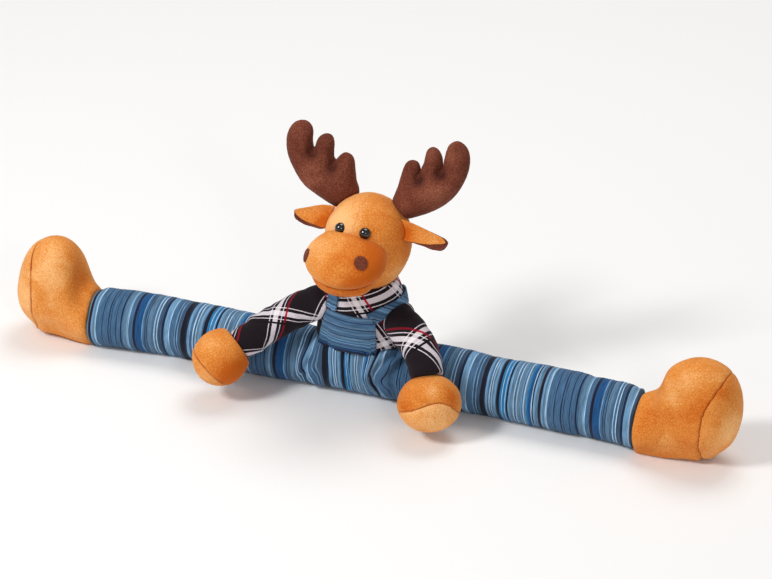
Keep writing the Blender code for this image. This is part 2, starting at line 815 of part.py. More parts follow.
def make_antler(word, side, skull):
    """Two flat panels sewn round their outline and stuffed."""
    pose = ANTLERS[word]
    foot = ANTLER_FOOT_Z / MM
    rows = []
    for out, z in ANTLER_OUTLINE:
        spread = ANTLER_INNER + (out - ANTLER_INNER) * pose["spread"] + (z - foot) * pose["splay"]
        rows.append((spread, foot + (z - foot) * pose["rise"]))
    outline = [tuple(point * MM) for point in closed_spline(rows, 2)]
    points, faces, rim = flat_panel(outline, ANTLER_STEP)
    heights = stuffed_height(points, faces, rim)
    lean = math.tan(math.radians(ANTLER_LEAN))
    bm = bmesh.new()
    layers = []
    for sign in (1, -1):
        layer = []
        for index, point in enumerate(points):
            y = ANTLER_FOOT_Y + (point.y - ANTLER_FOOT_Z) * lean + sign * heights[index]
            if index < rim and sign < 0:
                layer.append(layers[0][index])
            else:
                layer.append(bm.verts.new((HEAD_MIDDLE.x + side * point.x, y, point.y)))
        layers.append(layer)
        for face in faces:
            bm.faces.new([layer[index] for index in face])
    antler = make_object(f"antler_{word}", bm, "brown_plush")
    ease = antler.modifiers.new("ease", "SMOOTH")
    ease.factor = 0.5
    ease.iterations = ANTLER_EASING
    return cut_by(antler, skull)


def ear_rows(word, side, behind, roll):
    """An ear's layer as rows of points: how far behind the front it lies and how far it rolls out."""
    rows = []
    root = on_head(EARS[word]["root"])
    turn = HEAD_TURN @ Matrix.Rotation(math.radians(-EAR_TILT), 3, "X")
    length = EAR_PROFILE[-1][0]
    for along, drop, half in EAR_PROFILE:
        points = []
        for forward, up in EAR_CUP:
            reach = half if up > 0 else half * EARS[word]["hangs"] + roll * smooth_step(along / 20.0)
            out = side * along * (length + roll) / length
            offset = Vector((out, behind - forward * half, up * reach - drop))
            points.append(root + turn @ (offset * MM))
        rows.append(points)
    return rows


def make_ear(word, side, skull, antler):
    """An orange front layer and a brown back layer, both cupped, sewn into the head's side."""
    behind = (CLOTH + SEWN_GAP) / MM
    ear = make_sheet(f"ear_{word}", ear_rows(word, side, 0.0, 0.0), "orange_plush")
    back = make_sheet(f"ear_back_{word}", ear_rows(word, side, behind + 0.6, EAR_ROLL), "brown_plush")
    for sheet in (ear, back):
        sheet.modifiers["cloth"].offset = side
        cut_by(sheet, skull, antler)


def centre_on_ground():
    """Parent every sub-part to one empty, set so that the whole stands centred on the origin."""
    bpy.context.view_layer.update()
    depsgraph = bpy.context.evaluated_depsgraph_get()
    corners = []
    parts = list(COLLECTIONS[OBJECT_NAME].objects)
    for obj in parts:
        mesh = obj.evaluated_get(depsgraph).to_mesh()
        corners.extend(obj.matrix_world @ vertex.co for vertex in mesh.vertices)
    low = [min(corner[axis] for corner in corners) for axis in range(3)]
    high = [max(corner[axis] for corner in corners) for axis in range(3)]
    anchor = bpy.data.objects.new("anchor", None)
    COLLECTIONS[OBJECT_NAME].objects.link(anchor)
    for obj in parts + list(COLLECTIONS["Cutters"].objects):
        obj.parent = anchor
    anchor.location = (-(low[0] + high[0]) / 2, -(low[1] + high[1]) / 2, -low[2])
    size = [round((high[axis] - low[axis]) / MM, 1) for axis in range(3)]
    print(f"{OBJECT_NAME}: {len(parts)} sub-parts, {size} mm, moved by {[round(v, 5) for v in anchor.location]}")


def main():
    trousers = make_trousers()
    skull = make_skull()
    body = make_body(trousers, skull)
    bib = make_bib()
    sheet_cutter(bib)
    cut_by(bib, trousers)
    muzzle = make_muzzle(skull)
    chin = make_chin(skull, muzzle)
    cut_by(body, chin)
    for word, boot in FEET.items():
        side = boot["side"]
        strap = make_strap(f"strap_{word}", STRAP_PATHS[f"strap_{word}"])
        cut_by(strap, body, bib, trousers, skull, chin)
        sheet_cutter(strap)
        make_foot(word, boot)
        make_sleeve(f"sleeve_{word}", [body, trousers, strap, bib])
        make_hand(word, f"sleeve_{word}")
        make_eye(word, skull, muzzle)
        make_nostril(word, muzzle)
        antler = make_antler(word, side, skull)
        make_ear(word, side, skull, antler)
    centre_on_ground()


main()
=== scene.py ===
# %% [markdown]
# A draught excluder in plush
#
# This toy elk does the splits along the foot of a door. Its striped trouser legs are one stuffed roll,
# and its body, arms and head are sewn on in the middle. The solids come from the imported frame, with
# their real sizes. This script dresses them: each one is replaced by a finer cloth form with its own
# fabric. Lengths are in metres, and tables are in millimetres, which MM turns into metres.

# %% Load the solids
import math

import bmesh
import bpy
import numpy as np
from mathutils import Matrix, Vector, noise
from mathutils.bvhtree import BVHTree


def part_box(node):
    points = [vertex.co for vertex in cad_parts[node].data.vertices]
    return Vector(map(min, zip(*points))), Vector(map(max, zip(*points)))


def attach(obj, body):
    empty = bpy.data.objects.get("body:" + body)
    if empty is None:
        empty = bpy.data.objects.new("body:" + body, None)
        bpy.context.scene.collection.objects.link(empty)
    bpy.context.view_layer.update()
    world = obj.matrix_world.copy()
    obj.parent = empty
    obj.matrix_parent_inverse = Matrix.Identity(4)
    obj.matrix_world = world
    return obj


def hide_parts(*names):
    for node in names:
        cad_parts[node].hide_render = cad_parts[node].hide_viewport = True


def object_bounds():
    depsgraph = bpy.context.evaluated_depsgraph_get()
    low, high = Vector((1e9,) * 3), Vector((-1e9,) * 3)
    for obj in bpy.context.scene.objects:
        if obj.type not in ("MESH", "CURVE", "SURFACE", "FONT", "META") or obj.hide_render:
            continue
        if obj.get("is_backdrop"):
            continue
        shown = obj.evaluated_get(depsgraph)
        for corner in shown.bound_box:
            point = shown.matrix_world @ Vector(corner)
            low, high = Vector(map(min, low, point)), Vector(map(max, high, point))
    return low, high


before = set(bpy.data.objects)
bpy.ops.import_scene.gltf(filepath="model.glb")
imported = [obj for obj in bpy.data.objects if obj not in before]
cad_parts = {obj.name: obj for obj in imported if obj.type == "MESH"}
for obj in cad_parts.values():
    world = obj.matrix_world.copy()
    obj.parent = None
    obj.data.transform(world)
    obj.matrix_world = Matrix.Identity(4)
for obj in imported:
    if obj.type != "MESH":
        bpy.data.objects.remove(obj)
cad_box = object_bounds()
scene = bpy.context.scene
MM = 0.001
print("solids:", len(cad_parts), "box:", [[round(value, 4) for value in corner] for corner in cad_box])

# %% [markdown]
# The maker's own measures start from a point under the toy's middle, a little off the centre of its
# box. The head is a full ball, so the middle of its box shows where that point lies.

# %% Find the maker's origin
HEAD_MIDDLE = Vector((5.0, 6.0, 194.0)) * MM
HEAD_YAW = -5.0
head_low, head_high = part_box("head")
ORIGIN = Vector(
    ((head_low.x + head_high.x) / 2 - HEAD_MIDDLE.x, (head_low.y + head_high.y) / 2 - HEAD_MIDDLE.y, 0.0)
)


def at_mm(x, y, z):
    """A place that the tables give in mm, as a point in the scene."""
    return ORIGIN + Vector((x, y, z)) * MM


print("origin:", [round(value, 5) for value in ORIGIN])

# %% [markdown]
# The picture was taken from the right and above, from far away, so the camera has a long lens. The
# shift slides the frame until the toy sits in it as in the picture.

# %% Camera
PICTURE = (772, 579)
VIEW_TURN = 20.5
VIEW_RISE = 30.5
VIEW_DISTANCE = 4.5
FOCAL_PX = 4036.0
AIM_PX = (362.2, 364.4)
SENSOR = 36.0
AIM_HEIGHT = 34.0


def way_out(turn, rise):
    """The way that points turn degrees round from the front and rise degrees up."""
    turn, rise = math.radians(turn), math.radians(rise)
    return Vector((math.sin(turn) * math.cos(rise), -math.cos(turn) * math.cos(rise), math.sin(rise)))


aim = at_mm(0.0, 0.0, AIM_HEIGHT)
back = way_out(VIEW_TURN, VIEW_RISE)
right = Vector((math.cos(math.radians(VIEW_TURN)), math.sin(math.radians(VIEW_TURN)), 0.0))
camera = bpy.data.objects.new("camera", bpy.data.cameras.new("camera"))
scene.collection.objects.link(camera)
turned = Matrix((right, back.cross(right), back)).transposed().to_4x4()
camera.matrix_world = Matrix.Translation(aim + back * VIEW_DISTANCE) @ turned
camera.data.sensor_width = SENSOR
camera.data.lens = FOCAL_PX / PICTURE[0] * SENSOR
camera.data.shift_x = (PICTURE[0] / 2 - AIM_PX[0]) / PICTURE[0]
camera.data.shift_y = (AIM_PX[1] - PICTURE[1] / 2) / PICTURE[0]
scene.camera = camera
print("lens:", round(camera.data.lens, 1), "mm")

# %% [markdown]
# Colours are written as the sRGB hex values that an eye would pick from the cloth. Blender mixes light
# in linear values, so one function turns them.


# %% Colours and nodes
def srgb(code):
    """A hex colour as linear red, green, blue and alpha."""
    values = [int(code[place : place + 2], 16) / 255 for place in (1, 3, 5)]
    return (*(v / 12.92 if v <= 0.04045 else ((v + 0.055) / 1.055) ** 2.4 for v in values), 1.0)


def add_node(tree, kind, settings=None, inputs=None):
    """Add a shader node with its settings. Each input is a value, or an output to link in."""
    node = tree.nodes.new("ShaderNode" + kind)
    for name, value in (settings or {}).items():
        setattr(node, name, value)
    for name, value in (inputs or {}).items():
        if isinstance(value, bpy.types.NodeSocket):
            tree.links.new(value, node.inputs[name])
        else:
            node.inputs[name].default_value = value
    return node


def maths(tree, operation, *inputs):
    """The result of a sum on numbers or outputs."""
    return add_node(tree, "Math", {"operation": operation}, dict(enumerate(inputs))).outputs[0]


def mixed(tree, blend, share, first, second):
    """Two colours mixed by share."""
    inputs = {"Fac": share, "Color1": first, "Color2": second}
    return add_node(tree, "MixRGB", {"blend_type": blend}, inputs).outputs[0]


def ranged(tree, value, low, high, to_low=0.0, to_high=1.0):
    """A value moved from one range to another."""
    inputs = {"Value": value, "From Min": low, "From Max": high, "To Min": to_low, "To Max": to_high}
    return add_node(tree, "MapRange", None, inputs).outputs["Result"]


def noise_at(tree, place, scale, detail, roughness, distortion=0.0):
    inputs = {"Vector": place, "Scale": scale, "Detail": detail, "Roughness": roughness}
    return add_node(tree, "TexNoise", None, {**inputs, "Distortion": distortion}).outputs["Fac"]


def attribute(tree, name, output="Fac"):
    return add_node(tree, "Attribute", {"attribute_name": name}).outputs[output]


def finish_shader(tree, shader, colour, height, strength, depth_mm):
    """Link a colour and a relief into a shader."""
    inputs = {"Strength": strength, "Distance": depth_mm * MM, "Height": height}
    bump = add_node(tree, "Bump", None, inputs)
    tree.links.new(colour, shader.inputs["Base Color"])
    tree.links.new(bump.outputs["Normal"], shader.inputs["Normal"])


def new_material(name, shader_values):
    """A material with a Principled shader, whose own sockets take the values that are even all over."""
    material = bpy.data.materials.new(name)
    material.use_nodes = True
    shader = material.node_tree.nodes["Principled BSDF"]
    for socket, value in shader_values.items():
        shader.inputs[socket].default_value = value
    return material, material.node_tree, shader


print("white:", srgb("#FFFFFF"))

# %% [markdown]
# A studio table: a pale floor, a large soft light at the upper left, a weaker one on the right and one
# above. Large lights give the plush its soft shading, and show as small squares in the bead eyes.

# %% Floor and light
FLOOR_HALF = 6.0
FLOOR_Z = -0.0002
LIGHTS_AIM = (0.0, 0.0, 0.1)
SOFTBOXES = {
    # name: place, size, watts
    "key": ((-1.7, -2.0, 2.6), 0.75, 70.0),
    "fill": ((2.0, -2.8, 2.1), 0.55, 15.0),
    "top": ((0.2, 1.2, 2.9), 1.6, 34.0),
}
WORLD_STRENGTH = 0.40

floor_mesh = bpy.data.meshes.new("floor")
corners = [(x * FLOOR_HALF, y * FLOOR_HALF, FLOOR_Z) for x, y in ((-1, -1), (1, -1), (1, 1), (-1, 1))]
floor_mesh.from_pydata(corners, [], [(0, 1, 2, 3)])
floor = bpy.data.objects.new("floor", floor_mesh)
scene.collection.objects.link(floor)
paper, _, _ = new_material("pale_paper", {"Base Color": srgb("#F6F5F3"), "Roughness": 0.9})
floor_mesh.materials.append(paper)
floor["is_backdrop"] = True

for name, (place, size, watts) in SOFTBOXES.items():
    lamp = bpy.data.lights.new(name, "AREA")
    lamp.energy = watts
    lamp.size = size
    box = bpy.data.objects.new(name, lamp)
    box.location = place
    box.rotation_euler = (Vector(LIGHTS_AIM) - Vector(place)).to_track_quat("-Z", "Y").to_euler()
    scene.collection.objects.link(box)

world = bpy.data.worlds.new("studio")
world.use_nodes = True
world.node_tree.nodes["Background"].inputs["Color"].default_value = srgb("#FDFDFF")
world.node_tree.nodes["Background"].inputs["Strength"].default_value = WORLD_STRENGTH
scene.world = world
scene.view_settings.view_transform = "Standard"
print("lights:", list(SOFTBOXES))

# %% [markdown]
# Plush is a short velour pile on a knitted back, cropped to about 1.5 mm. Its tone differs at random, in
# patches some 30 mm wide and in tufts 1.5 mm wide (drawn a little coarser than they are, to show at this
# size), and a sheen. Light and shade are also painted into its colour: an attribute gives each panel
# painted light and shade, paler where light falls and deeper in hollows, pockets and creases, and a
# painted shade darkens it along a seam, which the seam attribute marks.

# %% Velour plush
PATCH_MM = 30.0
TUFT_MM = 1.5
TUFT_DEPTH_MM = 0.45
PATCH_GAIN = 0.55
TUFT_GAIN = 1.15
TONE_LOW = 0.35
DEEP_AT = 0.12
PALE_AT = 0.88
# How much the painted shade darkens the plush along a seam, where pieces meet.
SEAM_SHADE = (0.82, 0.64, 0.54, 1.0)


def velour_plush(name, deep, middle, pale, sheen):
    """Velour pile: random patches and tufts, painted light and shade, and painted shade along a seam make its
    tone.
    """
    material, tree, shader = new_material(name, {
        "Roughness": 0.88, "IOR": 1.5, "Specular IOR Level": 0.18,
        "Sheen Weight": 0.26, "Sheen Roughness": 0.4, "Sheen Tint": srgb(sheen),
    })
    place = add_node(tree, "TexCoord").outputs["Object"]
    patch = noise_at(tree, place, 1 / (PATCH_MM * MM), 2.0, 0.5, 0.6)
    tuft = noise_at(tree, place, 1 / (TUFT_MM * MM), 3.0, 0.62)
    # Painted light and shade from an attribute, added to the random patches.
    patches_and_painted_light = maths(tree, "MULTIPLY_ADD", patch, PATCH_GAIN, attribute(tree, "painted_light_and_shade"))
    tone = maths(tree, "MULTIPLY_ADD", tuft, TUFT_GAIN, patches_and_painted_light)
    # The ramp runs from the plush's colour in shade, through its middle colour, to its colour in light.
    ramp = add_node(tree, "ValToRGB", None, {"Fac": maths(tree, "SUBTRACT", tone, TONE_LOW)})
    stops = ramp.color_ramp.elements
    stops[0].position, stops[0].color = DEEP_AT, srgb(deep)
    stops[1].position, stops[1].color = PALE_AT, srgb(pale)
    stops.new(0.5).color = srgb(middle)
    # Painted shade: the colour is darkened where the seam attribute says that the piece meets another.
    shaded_at_seams = mixed(tree, "MULTIPLY", attribute(tree, "seam"), ramp.outputs["Color"], SEAM_SHADE)
    finish_shader(tree, shader, shaded_at_seams, tuft, 0.75, TUFT_DEPTH_MM)
    return material


# Each plush: its colour in shade, its middle colour, its colour in light, and its sheen tint.
orange_plush = velour_plush("orange_velour_plush", "#C65E0C", "#E08C3C", "#F6BC7C", "#FFD9A6")
brown_plush = velour_plush("brown_velour_plush", "#421C14", "#6C3525", "#975A43", "#C89A84")
print("plush:", orange_plush.name, brown_plush.name)

# %% [markdown]
# The trousers are a yarn-dyed striped cotton. The warp runs round the legs, in many blues, white and
# black, so that each stripe is a set of threads. One repeat of 188.5 mm is charted below, as where each
# stripe starts and its colour. A colour ramp holds at most 32 stops, so the chart is laid over as many
# ramps as it needs. The cloth attribute gives each point's place on the cloth in mm.

# %% Striped cotton
STRIPE_REPEAT = 188.5
STRIPE_START = 121.0
YARNS = {
    "navy": "#16223E",
    "denim": "#426485",
    "dusk": "#38506B",
    "sky": "#6A93B5",
    "white": "#A0BFD8",
    "black": "#12131F",
    "azure": "#2470A4",
    "royal": "#1C4C7E",
    "plum": "#1C1A2B",
    "mist": "#587791",
}


def chart_rows(text):
    """A stripe chart's rows: where each stripe starts, in mm, and its yarn."""
    return [(float(row.split()[0]), row.split()[1]) for row in text.split(",")]


LEG_STRIPES = chart_rows("""
    0 navy, 2.5 sky, 9 white, 10.2 denim, 16.6 sky, 17.8 dusk, 19.8 sky, 21 dusk, 25 black, 29.4 navy,
    31.2 sky, 33.8 denim, 36 white, 37 denim, 38.6 white, 39.6 mist, 41.4 sky, 43.6 denim, 44.8 black,
    48.3 azure, 50.6 white, 51.5 azure, 54.3 white, 55.3 azure, 56.4 black, 58.2 sky, 60.5 mist,
    64.5 white, 65.5 denim, 68 white, 69.1 mist, 73.5 sky, 74.5 denim, 76 white, 77.2 mist,
    79.6 azure, 81.6 royal, 84.8 white, 86.1 black, 87.6 sky, 89.8 mist, 93 plum, 96.4 sky, 98.4 mist,
    100.6 sky, 102 white, 103.4 denim, 111.4 navy, 112.3 denim, 119.4 navy, 120.4 denim, 122.2 navy,
    123 denim, 129 navy, 129.9 denim, 135.4 navy, 137.4 denim, 139 mist, 144 sky, 146 white,
    147.2 denim, 152.6 plum, 155.8 royal, 164 sky, 165.4 denim, 167.6 navy, 168.3 denim, 170.2 navy,
    171 mist, 176 denim, 179 white, 180.2 denim, 182.6 white, 183.7 dusk
""")
RAMP_STOPS = 30
THREAD_MM = 1.1
FLECK_MM = (1.1, 22.0)
FLECK_TONES = (0.35, 0.65, 0.62, 1.38)
FLECK_RELIEF = 1.3
# How much the painted shade darkens the cotton where it meets another piece.
COTTON_SEAM_SHADE = (0.22, 0.24, 0.30, 1.0)


def stripe_colour(tree, along, chart, repeat, start):
    """The colour of a striped cloth where along, in mm, meets its chart."""
    turns = maths(tree, "DIVIDE", maths(tree, "SUBTRACT", along, start), repeat)
    share = maths(tree, "FRACT", turns)
    colour = None
    for first in range(0, len(chart), RAMP_STOPS):
        rows = chart[first : first + RAMP_STOPS]
        low = rows[0][0] / repeat
        high = (chart[first + RAMP_STOPS][0] if first + RAMP_STOPS < len(chart) else repeat) / repeat
        ramp = add_node(tree, "ValToRGB", None, {"Fac": ranged(tree, share, low, high)})
        ramp.color_ramp.interpolation = "CONSTANT"
        stops = ramp.color_ramp.elements
        stops.remove(stops[1])
        stops[0].color = srgb(YARNS[rows[0][1]])
        for place, yarn in rows[1:]:
            stops.new((place / repeat - low) / (high - low)).color = srgb(YARNS[yarn])
        painted = ramp.outputs["Color"]
        if colour is not None:
            painted = mixed(tree, "MIX", maths(tree, "GREATER_THAN", share, low), colour, painted)
        colour = painted
    return colour


def per_mm(tree, cloth, across, along):
    """Cloth places counted in units of across and along, both in mm."""
    inputs = {0: cloth, 1: (1 / across, 1 / along, 1.0)}
    return add_node(tree, "VectorMath", {"operation": "MULTIPLY"}, inputs).outputs[0]


def striped_cotton(name, chart, repeat, start):
    """A yarn-dyed stripe: the chart's colours, flecks along the threads, fine ribs, and painted shade where
    it meets another piece.
    """
    material, tree, shader = new_material(name, {
        "Roughness": 0.86, "IOR": 1.5, "Specular IOR Level": 0.2,
        "Sheen Weight": 0.12, "Sheen Roughness": 0.5, "Sheen Tint": srgb("#BFD6E8"),
    })
    cloth = attribute(tree, "cloth", "Vector")
    along = add_node(tree, "SeparateXYZ", None, {"Vector": cloth}).outputs["X"]
    colour = stripe_colour(tree, along, chart, repeat, start)
    fleck = noise_at(tree, per_mm(tree, cloth, *FLECK_MM), 1.0, 3.0, 0.7)
    worn = mixed(tree, "MULTIPLY", 1.0, colour, ranged(tree, fleck, *FLECK_TONES))
    # Painted shade: darker where the seam attribute says that the cotton meets another piece.
    seam_shaded = mixed(tree, "MULTIPLY", attribute(tree, "seam"), worn, COTTON_SEAM_SHADE)
    inputs = {"Vector": per_mm(tree, cloth, THREAD_MM, THREAD_MM), "Scale": 1.0, "Randomness": 0.35}
    weave = add_node(tree, "TexVoronoi", {"feature": "SMOOTH_F1"}, inputs).outputs["Distance"]
    relief = maths(tree, "MULTIPLY_ADD", fleck, FLECK_RELIEF, weave)
    finish_shader(tree, shader, seam_shaded, relief, 0.55, 0.35)
    return material


leg_cotton = striped_cotton("striped_cotton_legs", LEG_STRIPES, STRIPE_REPEAT, STRIPE_START)
print("stripes in one repeat:", len(LEG_STRIPES))

# %% [markdown]
# The bib is cut across the same cotton, so its stripes lie level. Fine dark lines cross a mid blue,
# paler towards the waist, where a navy and royal band shows. The straps are cut so that the stripes
# cross them.

# %% Bib and strap cotton
BIB_HEIGHT = 60.0
# Counted from the foot of the bib.
BIB_STRIPES = chart_rows("""
    0 plum, 1.6 navy, 3.4 royal, 4.8 navy, 6.2 denim, 10.4 navy, 11.2 denim, 13.6 sky, 14.8 denim,
    17.6 sky, 18.8 denim, 21 mist, 24.2 navy, 25.3 denim, 29 mist, 31 denim, 34.8 navy, 35.9 mist,
    38.2 denim, 43.6 navy, 44.7 denim, 48 mist, 50 denim, 53.6 navy, 54.6 denim
""")
STRAP_REPEAT = 24.0
STRAP_STRIPES = chart_rows("""
    0 sky, 1.8 denim, 3.4 sky, 4.8 denim, 6.4 black, 7.5 mist, 9.6 denim, 12.2 navy, 13 denim,
    17.8 navy, 18.6 denim, 22 sky
""")
bib_cotton = striped_cotton("striped_cotton_bib", BIB_STRIPES, BIB_HEIGHT, 0.0)
strap_cotton = striped_cotton("striped_cotton_straps", STRAP_STRIPES, STRAP_REPEAT, 0.0)
print("bib stripes:", len(BIB_STRIPES), "strap stripes:", len(STRAP_STRIPES))

# %% [markdown]
# The shirt is brushed cotton flannel in an ordinary tartan, on a warm black ground. Both ways it has a
# white band between two narrow white lines. A red line runs beside the band one way, and a black line
# the other way. The bands are laid by arithmetic: the distance to the nearest band is compared with
# each half width. A white thread over a black one is a little grey, and only where two bands cross is
# the cloth quite white. Brushing raises a fuzz, which blurs the edges and takes the shine away.

# %% Tartan flannel
TARTAN_REPEAT = 52.0
BAND_HALF = 2.9
LINE_AT = 6.8
LINE_HALF = 0.5
EXTRA_AT = 11.5
RED_HALF = 1.25
BLACK_HALF = 1.1
FUZZ_MM = 0.9
FUZZ_TONES = (0.3, 0.7, 0.74, 1.16)
# How much the painted shade darkens the flannel where it meets another piece.
FLANNEL_SEAM_SHADE = (0.3, 0.28, 0.3, 1.0)


def near(tree, distance, at, half):
    """1 where a distance in mm is within half of at, else 0."""
    return maths(tree, "LESS_THAN", maths(tree, "ABSOLUTE", maths(tree, "SUBTRACT", distance, at)), half)


def tartan_flannel():
    """A tartan whose cloth attribute is already turned to its threads, in mm."""
    material, tree, shader = new_material("tartan_flannel", {
        "Roughness": 0.95, "IOR": 1.5, "Specular IOR Level": 0.12,
        "Sheen Weight": 0.10, "Sheen Roughness": 0.5, "Sheen Tint": srgb("#D8D2D8"),
    })
    cloth = attribute(tree, "cloth", "Vector")
    fine = noise_at(tree, cloth, 1 / FUZZ_MM, 2.0, 0.7)
    threads = add_node(tree, "SeparateXYZ", None, {"Vector": cloth}).outputs
    bands, extras = [], []
    for axis, half in (("X", RED_HALF), ("Y", BLACK_HALF)):
        fuzzy = maths(tree, "MULTIPLY_ADD", fine, FUZZ_MM, threads[axis])
        wrapped = maths(tree, "WRAP", fuzzy, TARTAN_REPEAT / 2, -TARTAN_REPEAT / 2)
        side = maths(tree, "ABSOLUTE", wrapped)
        middle, narrow = near(tree, side, 0.0, BAND_HALF), near(tree, side, LINE_AT, LINE_HALF)
        bands.append(maths(tree, "MAXIMUM", middle, narrow))
        extras.append(near(tree, wrapped, EXTRA_AT, half))
    half_count = maths(tree, "MULTIPLY", maths(tree, "ADD", *bands), 0.5)
    ramp = add_node(tree, "ValToRGB", None, {"Fac": half_count})
    stops = ramp.color_ramp.elements
    stops[0].color = srgb("#1E171C")
    stops[1].color = srgb("#F2EDEE")
    stops.new(0.5).color = srgb("#D8D0D7")
    red = mixed(tree, "MIX", bands[1], srgb("#7C1626"), srgb("#BE1A30"))
    dyed = mixed(tree, "MIX", extras[0], ramp.outputs["Color"], red)
    lined = mixed(tree, "MIX", extras[1], dyed, srgb("#161115"))
    worn = mixed(tree, "MULTIPLY", 1.0, lined, ranged(tree, fine, *FUZZ_TONES))
    # Painted shade: darker where the seam attribute says that the flannel meets another piece.
    seam_shaded = mixed(tree, "MULTIPLY", attribute(tree, "seam"), worn, FLANNEL_SEAM_SHADE)
    finish_shader(tree, shader, seam_shaded, fine, 0.5, 0.3)
    return material


flannel = tartan_flannel()
print("tartan repeat:", TARTAN_REPEAT, "mm")

# %% [markdown]
# The eyes are moulded black plastic beads. Moulding in a polished die leaves them smooth and glossy, so
# they mirror the lights as small sharp spots. The black takes in all other light.

# %% Bead plastic
bead_plastic, _, _ = new_material(
    "moulded_bead_plastic",
    {
        "Base Color": srgb("#060607"),
        "Roughness": 0.04,
        "IOR": 1.49,
        "Specular IOR Level": 0.5,
        "Coat Weight": 0.8,
        "Coat Roughness": 0.03,
    },
)
print("bead:", bead_plastic.name)

# %% [markdown]
# Stuffed cloth has no flat facets and no sharp rims. Each form starts as a copy of its solid: the rims
# where pieces meet are marked as creases, a subdivision surface rounds the facets between them, and a
# voxel remesh with some smoothing turns the rims over, as cloth turns in at a seam. Two such rims side
# by side make the soft groove of a sewn seam.

# %% From solid to cloth
RIM_ANGLE = math.radians(38)
WELD = 0.00002


def points_of(piece):
    found = np.empty(len(piece.data.vertices) * 3)
    piece.data.vertices.foreach_get("co", found)
    return found.reshape(-1, 3)


def normals_of(piece):
    found = np.empty(len(piece.data.vertices) * 3)
    piece.data.vertices.foreach_get("normal", found)
    return found.reshape(-1, 3)


def move_points(piece, points):
    piece.data.vertices.foreach_set("co", points.ravel())
    piece.data.update()


def skin_of(piece):
    """A search tree of an object's faces."""
    mesh = piece.data
    return BVHTree.FromPolygons(
        [vertex.co for vertex in mesh.vertices], [list(face.vertices) for face in mesh.polygons]
    )


def make_piece(name, bm):
    mesh = bpy.data.meshes.new(name)
    bm.to_mesh(mesh)
    bm.free()
    piece = bpy.data.objects.new(name, mesh)
    scene.collection.objects.link(piece)
    return piece


def apply_all(piece):
    """Replace the piece's mesh by the one that its modifiers make."""
    graph = bpy.context.evaluated_depsgraph_get()
    mesh = bpy.data.meshes.new_from_object(piece.evaluated_get(graph))
    piece.modifiers.clear()
    piece.data = mesh
    mesh.shade_smooth()
    return piece


def subdivide(piece, rounds):
    rounded = piece.modifiers.new("rounded", "SUBSURF")
    rounded.levels = rounds
    rounded.render_levels = rounds


def ease(piece, factor, rounds):
    eased = piece.modifiers.new("eased", "SMOOTH")
    eased.factor = factor
    eased.iterations = rounds


def creased_copy(name, node, rounds):
    """A copy of a solid whose facets are rounded and whose rims are kept."""
    bm = bmesh.new()
    bm.from_mesh(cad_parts[node].data)
    bmesh.ops.remove_doubles(bm, verts=bm.verts, dist=WELD)
    bmesh.ops.join_triangles(
        bm, faces=bm.faces, angle_face_threshold=math.radians(12), angle_shape_threshold=math.radians(50)
    )
    crease = bm.edges.layers.float.new("crease_edge")
    for edge in bm.edges:
        if len(edge.link_faces) == 2 and edge.calc_face_angle() > RIM_ANGLE:
            edge[crease] = 1.0
    piece = make_piece(name, bm)
    subdivide(piece, rounds)
    return piece


def stuffed(name, node, voxel_mm, eases):
    """A stuffed form made from its solid."""
    piece = creased_copy(name, node, 2)
    remesh = piece.modifiers.new("even", "REMESH")
    remesh.mode = "VOXEL"
    remesh.voxel_size = voxel_mm * MM
    remesh.use_smooth_shade = True
    ease(piece, 0.5, eases)
    return apply_all(piece)


PLUSH_FORMS = {
    # node: voxel in mm, rounds of smoothing
    "foot_left": (2.0, 5), "foot_right": (2.0, 5), "sole_left": (1.8, 5), "sole_right": (1.8, 5),
    "hand_left": (1.6, 4), "hand_right": (1.6, 4), "palm_left": (1.5, 4), "palm_right": (1.5, 4),
    "head": (1.8, 6), "muzzle": (1.6, 4), "chin": (1.5, 4),
    "antler_left": (1.5, 4), "antler_right": (1.5, 4),
    "nostril_left": (0.6, 2), "nostril_right": (0.6, 2),
}
forms = {node: stuffed(f"{node}_cloth", node, *settings) for node, settings in PLUSH_FORMS.items()}
for node, swell in (("antler_left", 0.9), ("antler_right", 0.9), ("muzzle", 0.3)):
    move_points(forms[node], points_of(forms[node]) + normals_of(forms[node]) * swell * MM)
forms["shirt_body"] = stuffed("shirt_body_cloth", "shirt_body", 1.8, 5)
for node in ("sleeve_left", "sleeve_right"):
    forms[node] = stuffed(f"{node}_cloth", node, 1.6, 5)
print("stuffed forms:", {node: len(piece.data.polygons) for node, piece in forms.items()})

# %% [markdown]
# The bib and straps are single sheets, 2 mm thick, which a remesh would tear. They keep their own faces,
# and the subdivision alone rounds them and their edges.

# %% Sheets of cloth
SHEET_NODES = ("bib", "strap_left", "strap_right")


def cloth_sheet(name, node):
    piece = creased_copy(name, node, 2)
    ease(piece, 0.4, 1)
    return apply_all(piece)


for node in SHEET_NODES:
    forms[node] = cloth_sheet(f"{node}_cloth", node)
print("sheets:", {node: len(forms[node].data.polygons) for node in SHEET_NODES})

# %% [markdown]
# An ear is two layers: orange plush in front and brown plush behind, each a leaf-shaped sheet. The front
# is folded into a deep cup where it is sewn into the head, and opens out towards the tip. The brown
# layer is cut a little larger, so it shows as a rolled edge below and at the tip. Both are lofted from
# rows across the ear, which start on the head's skin.

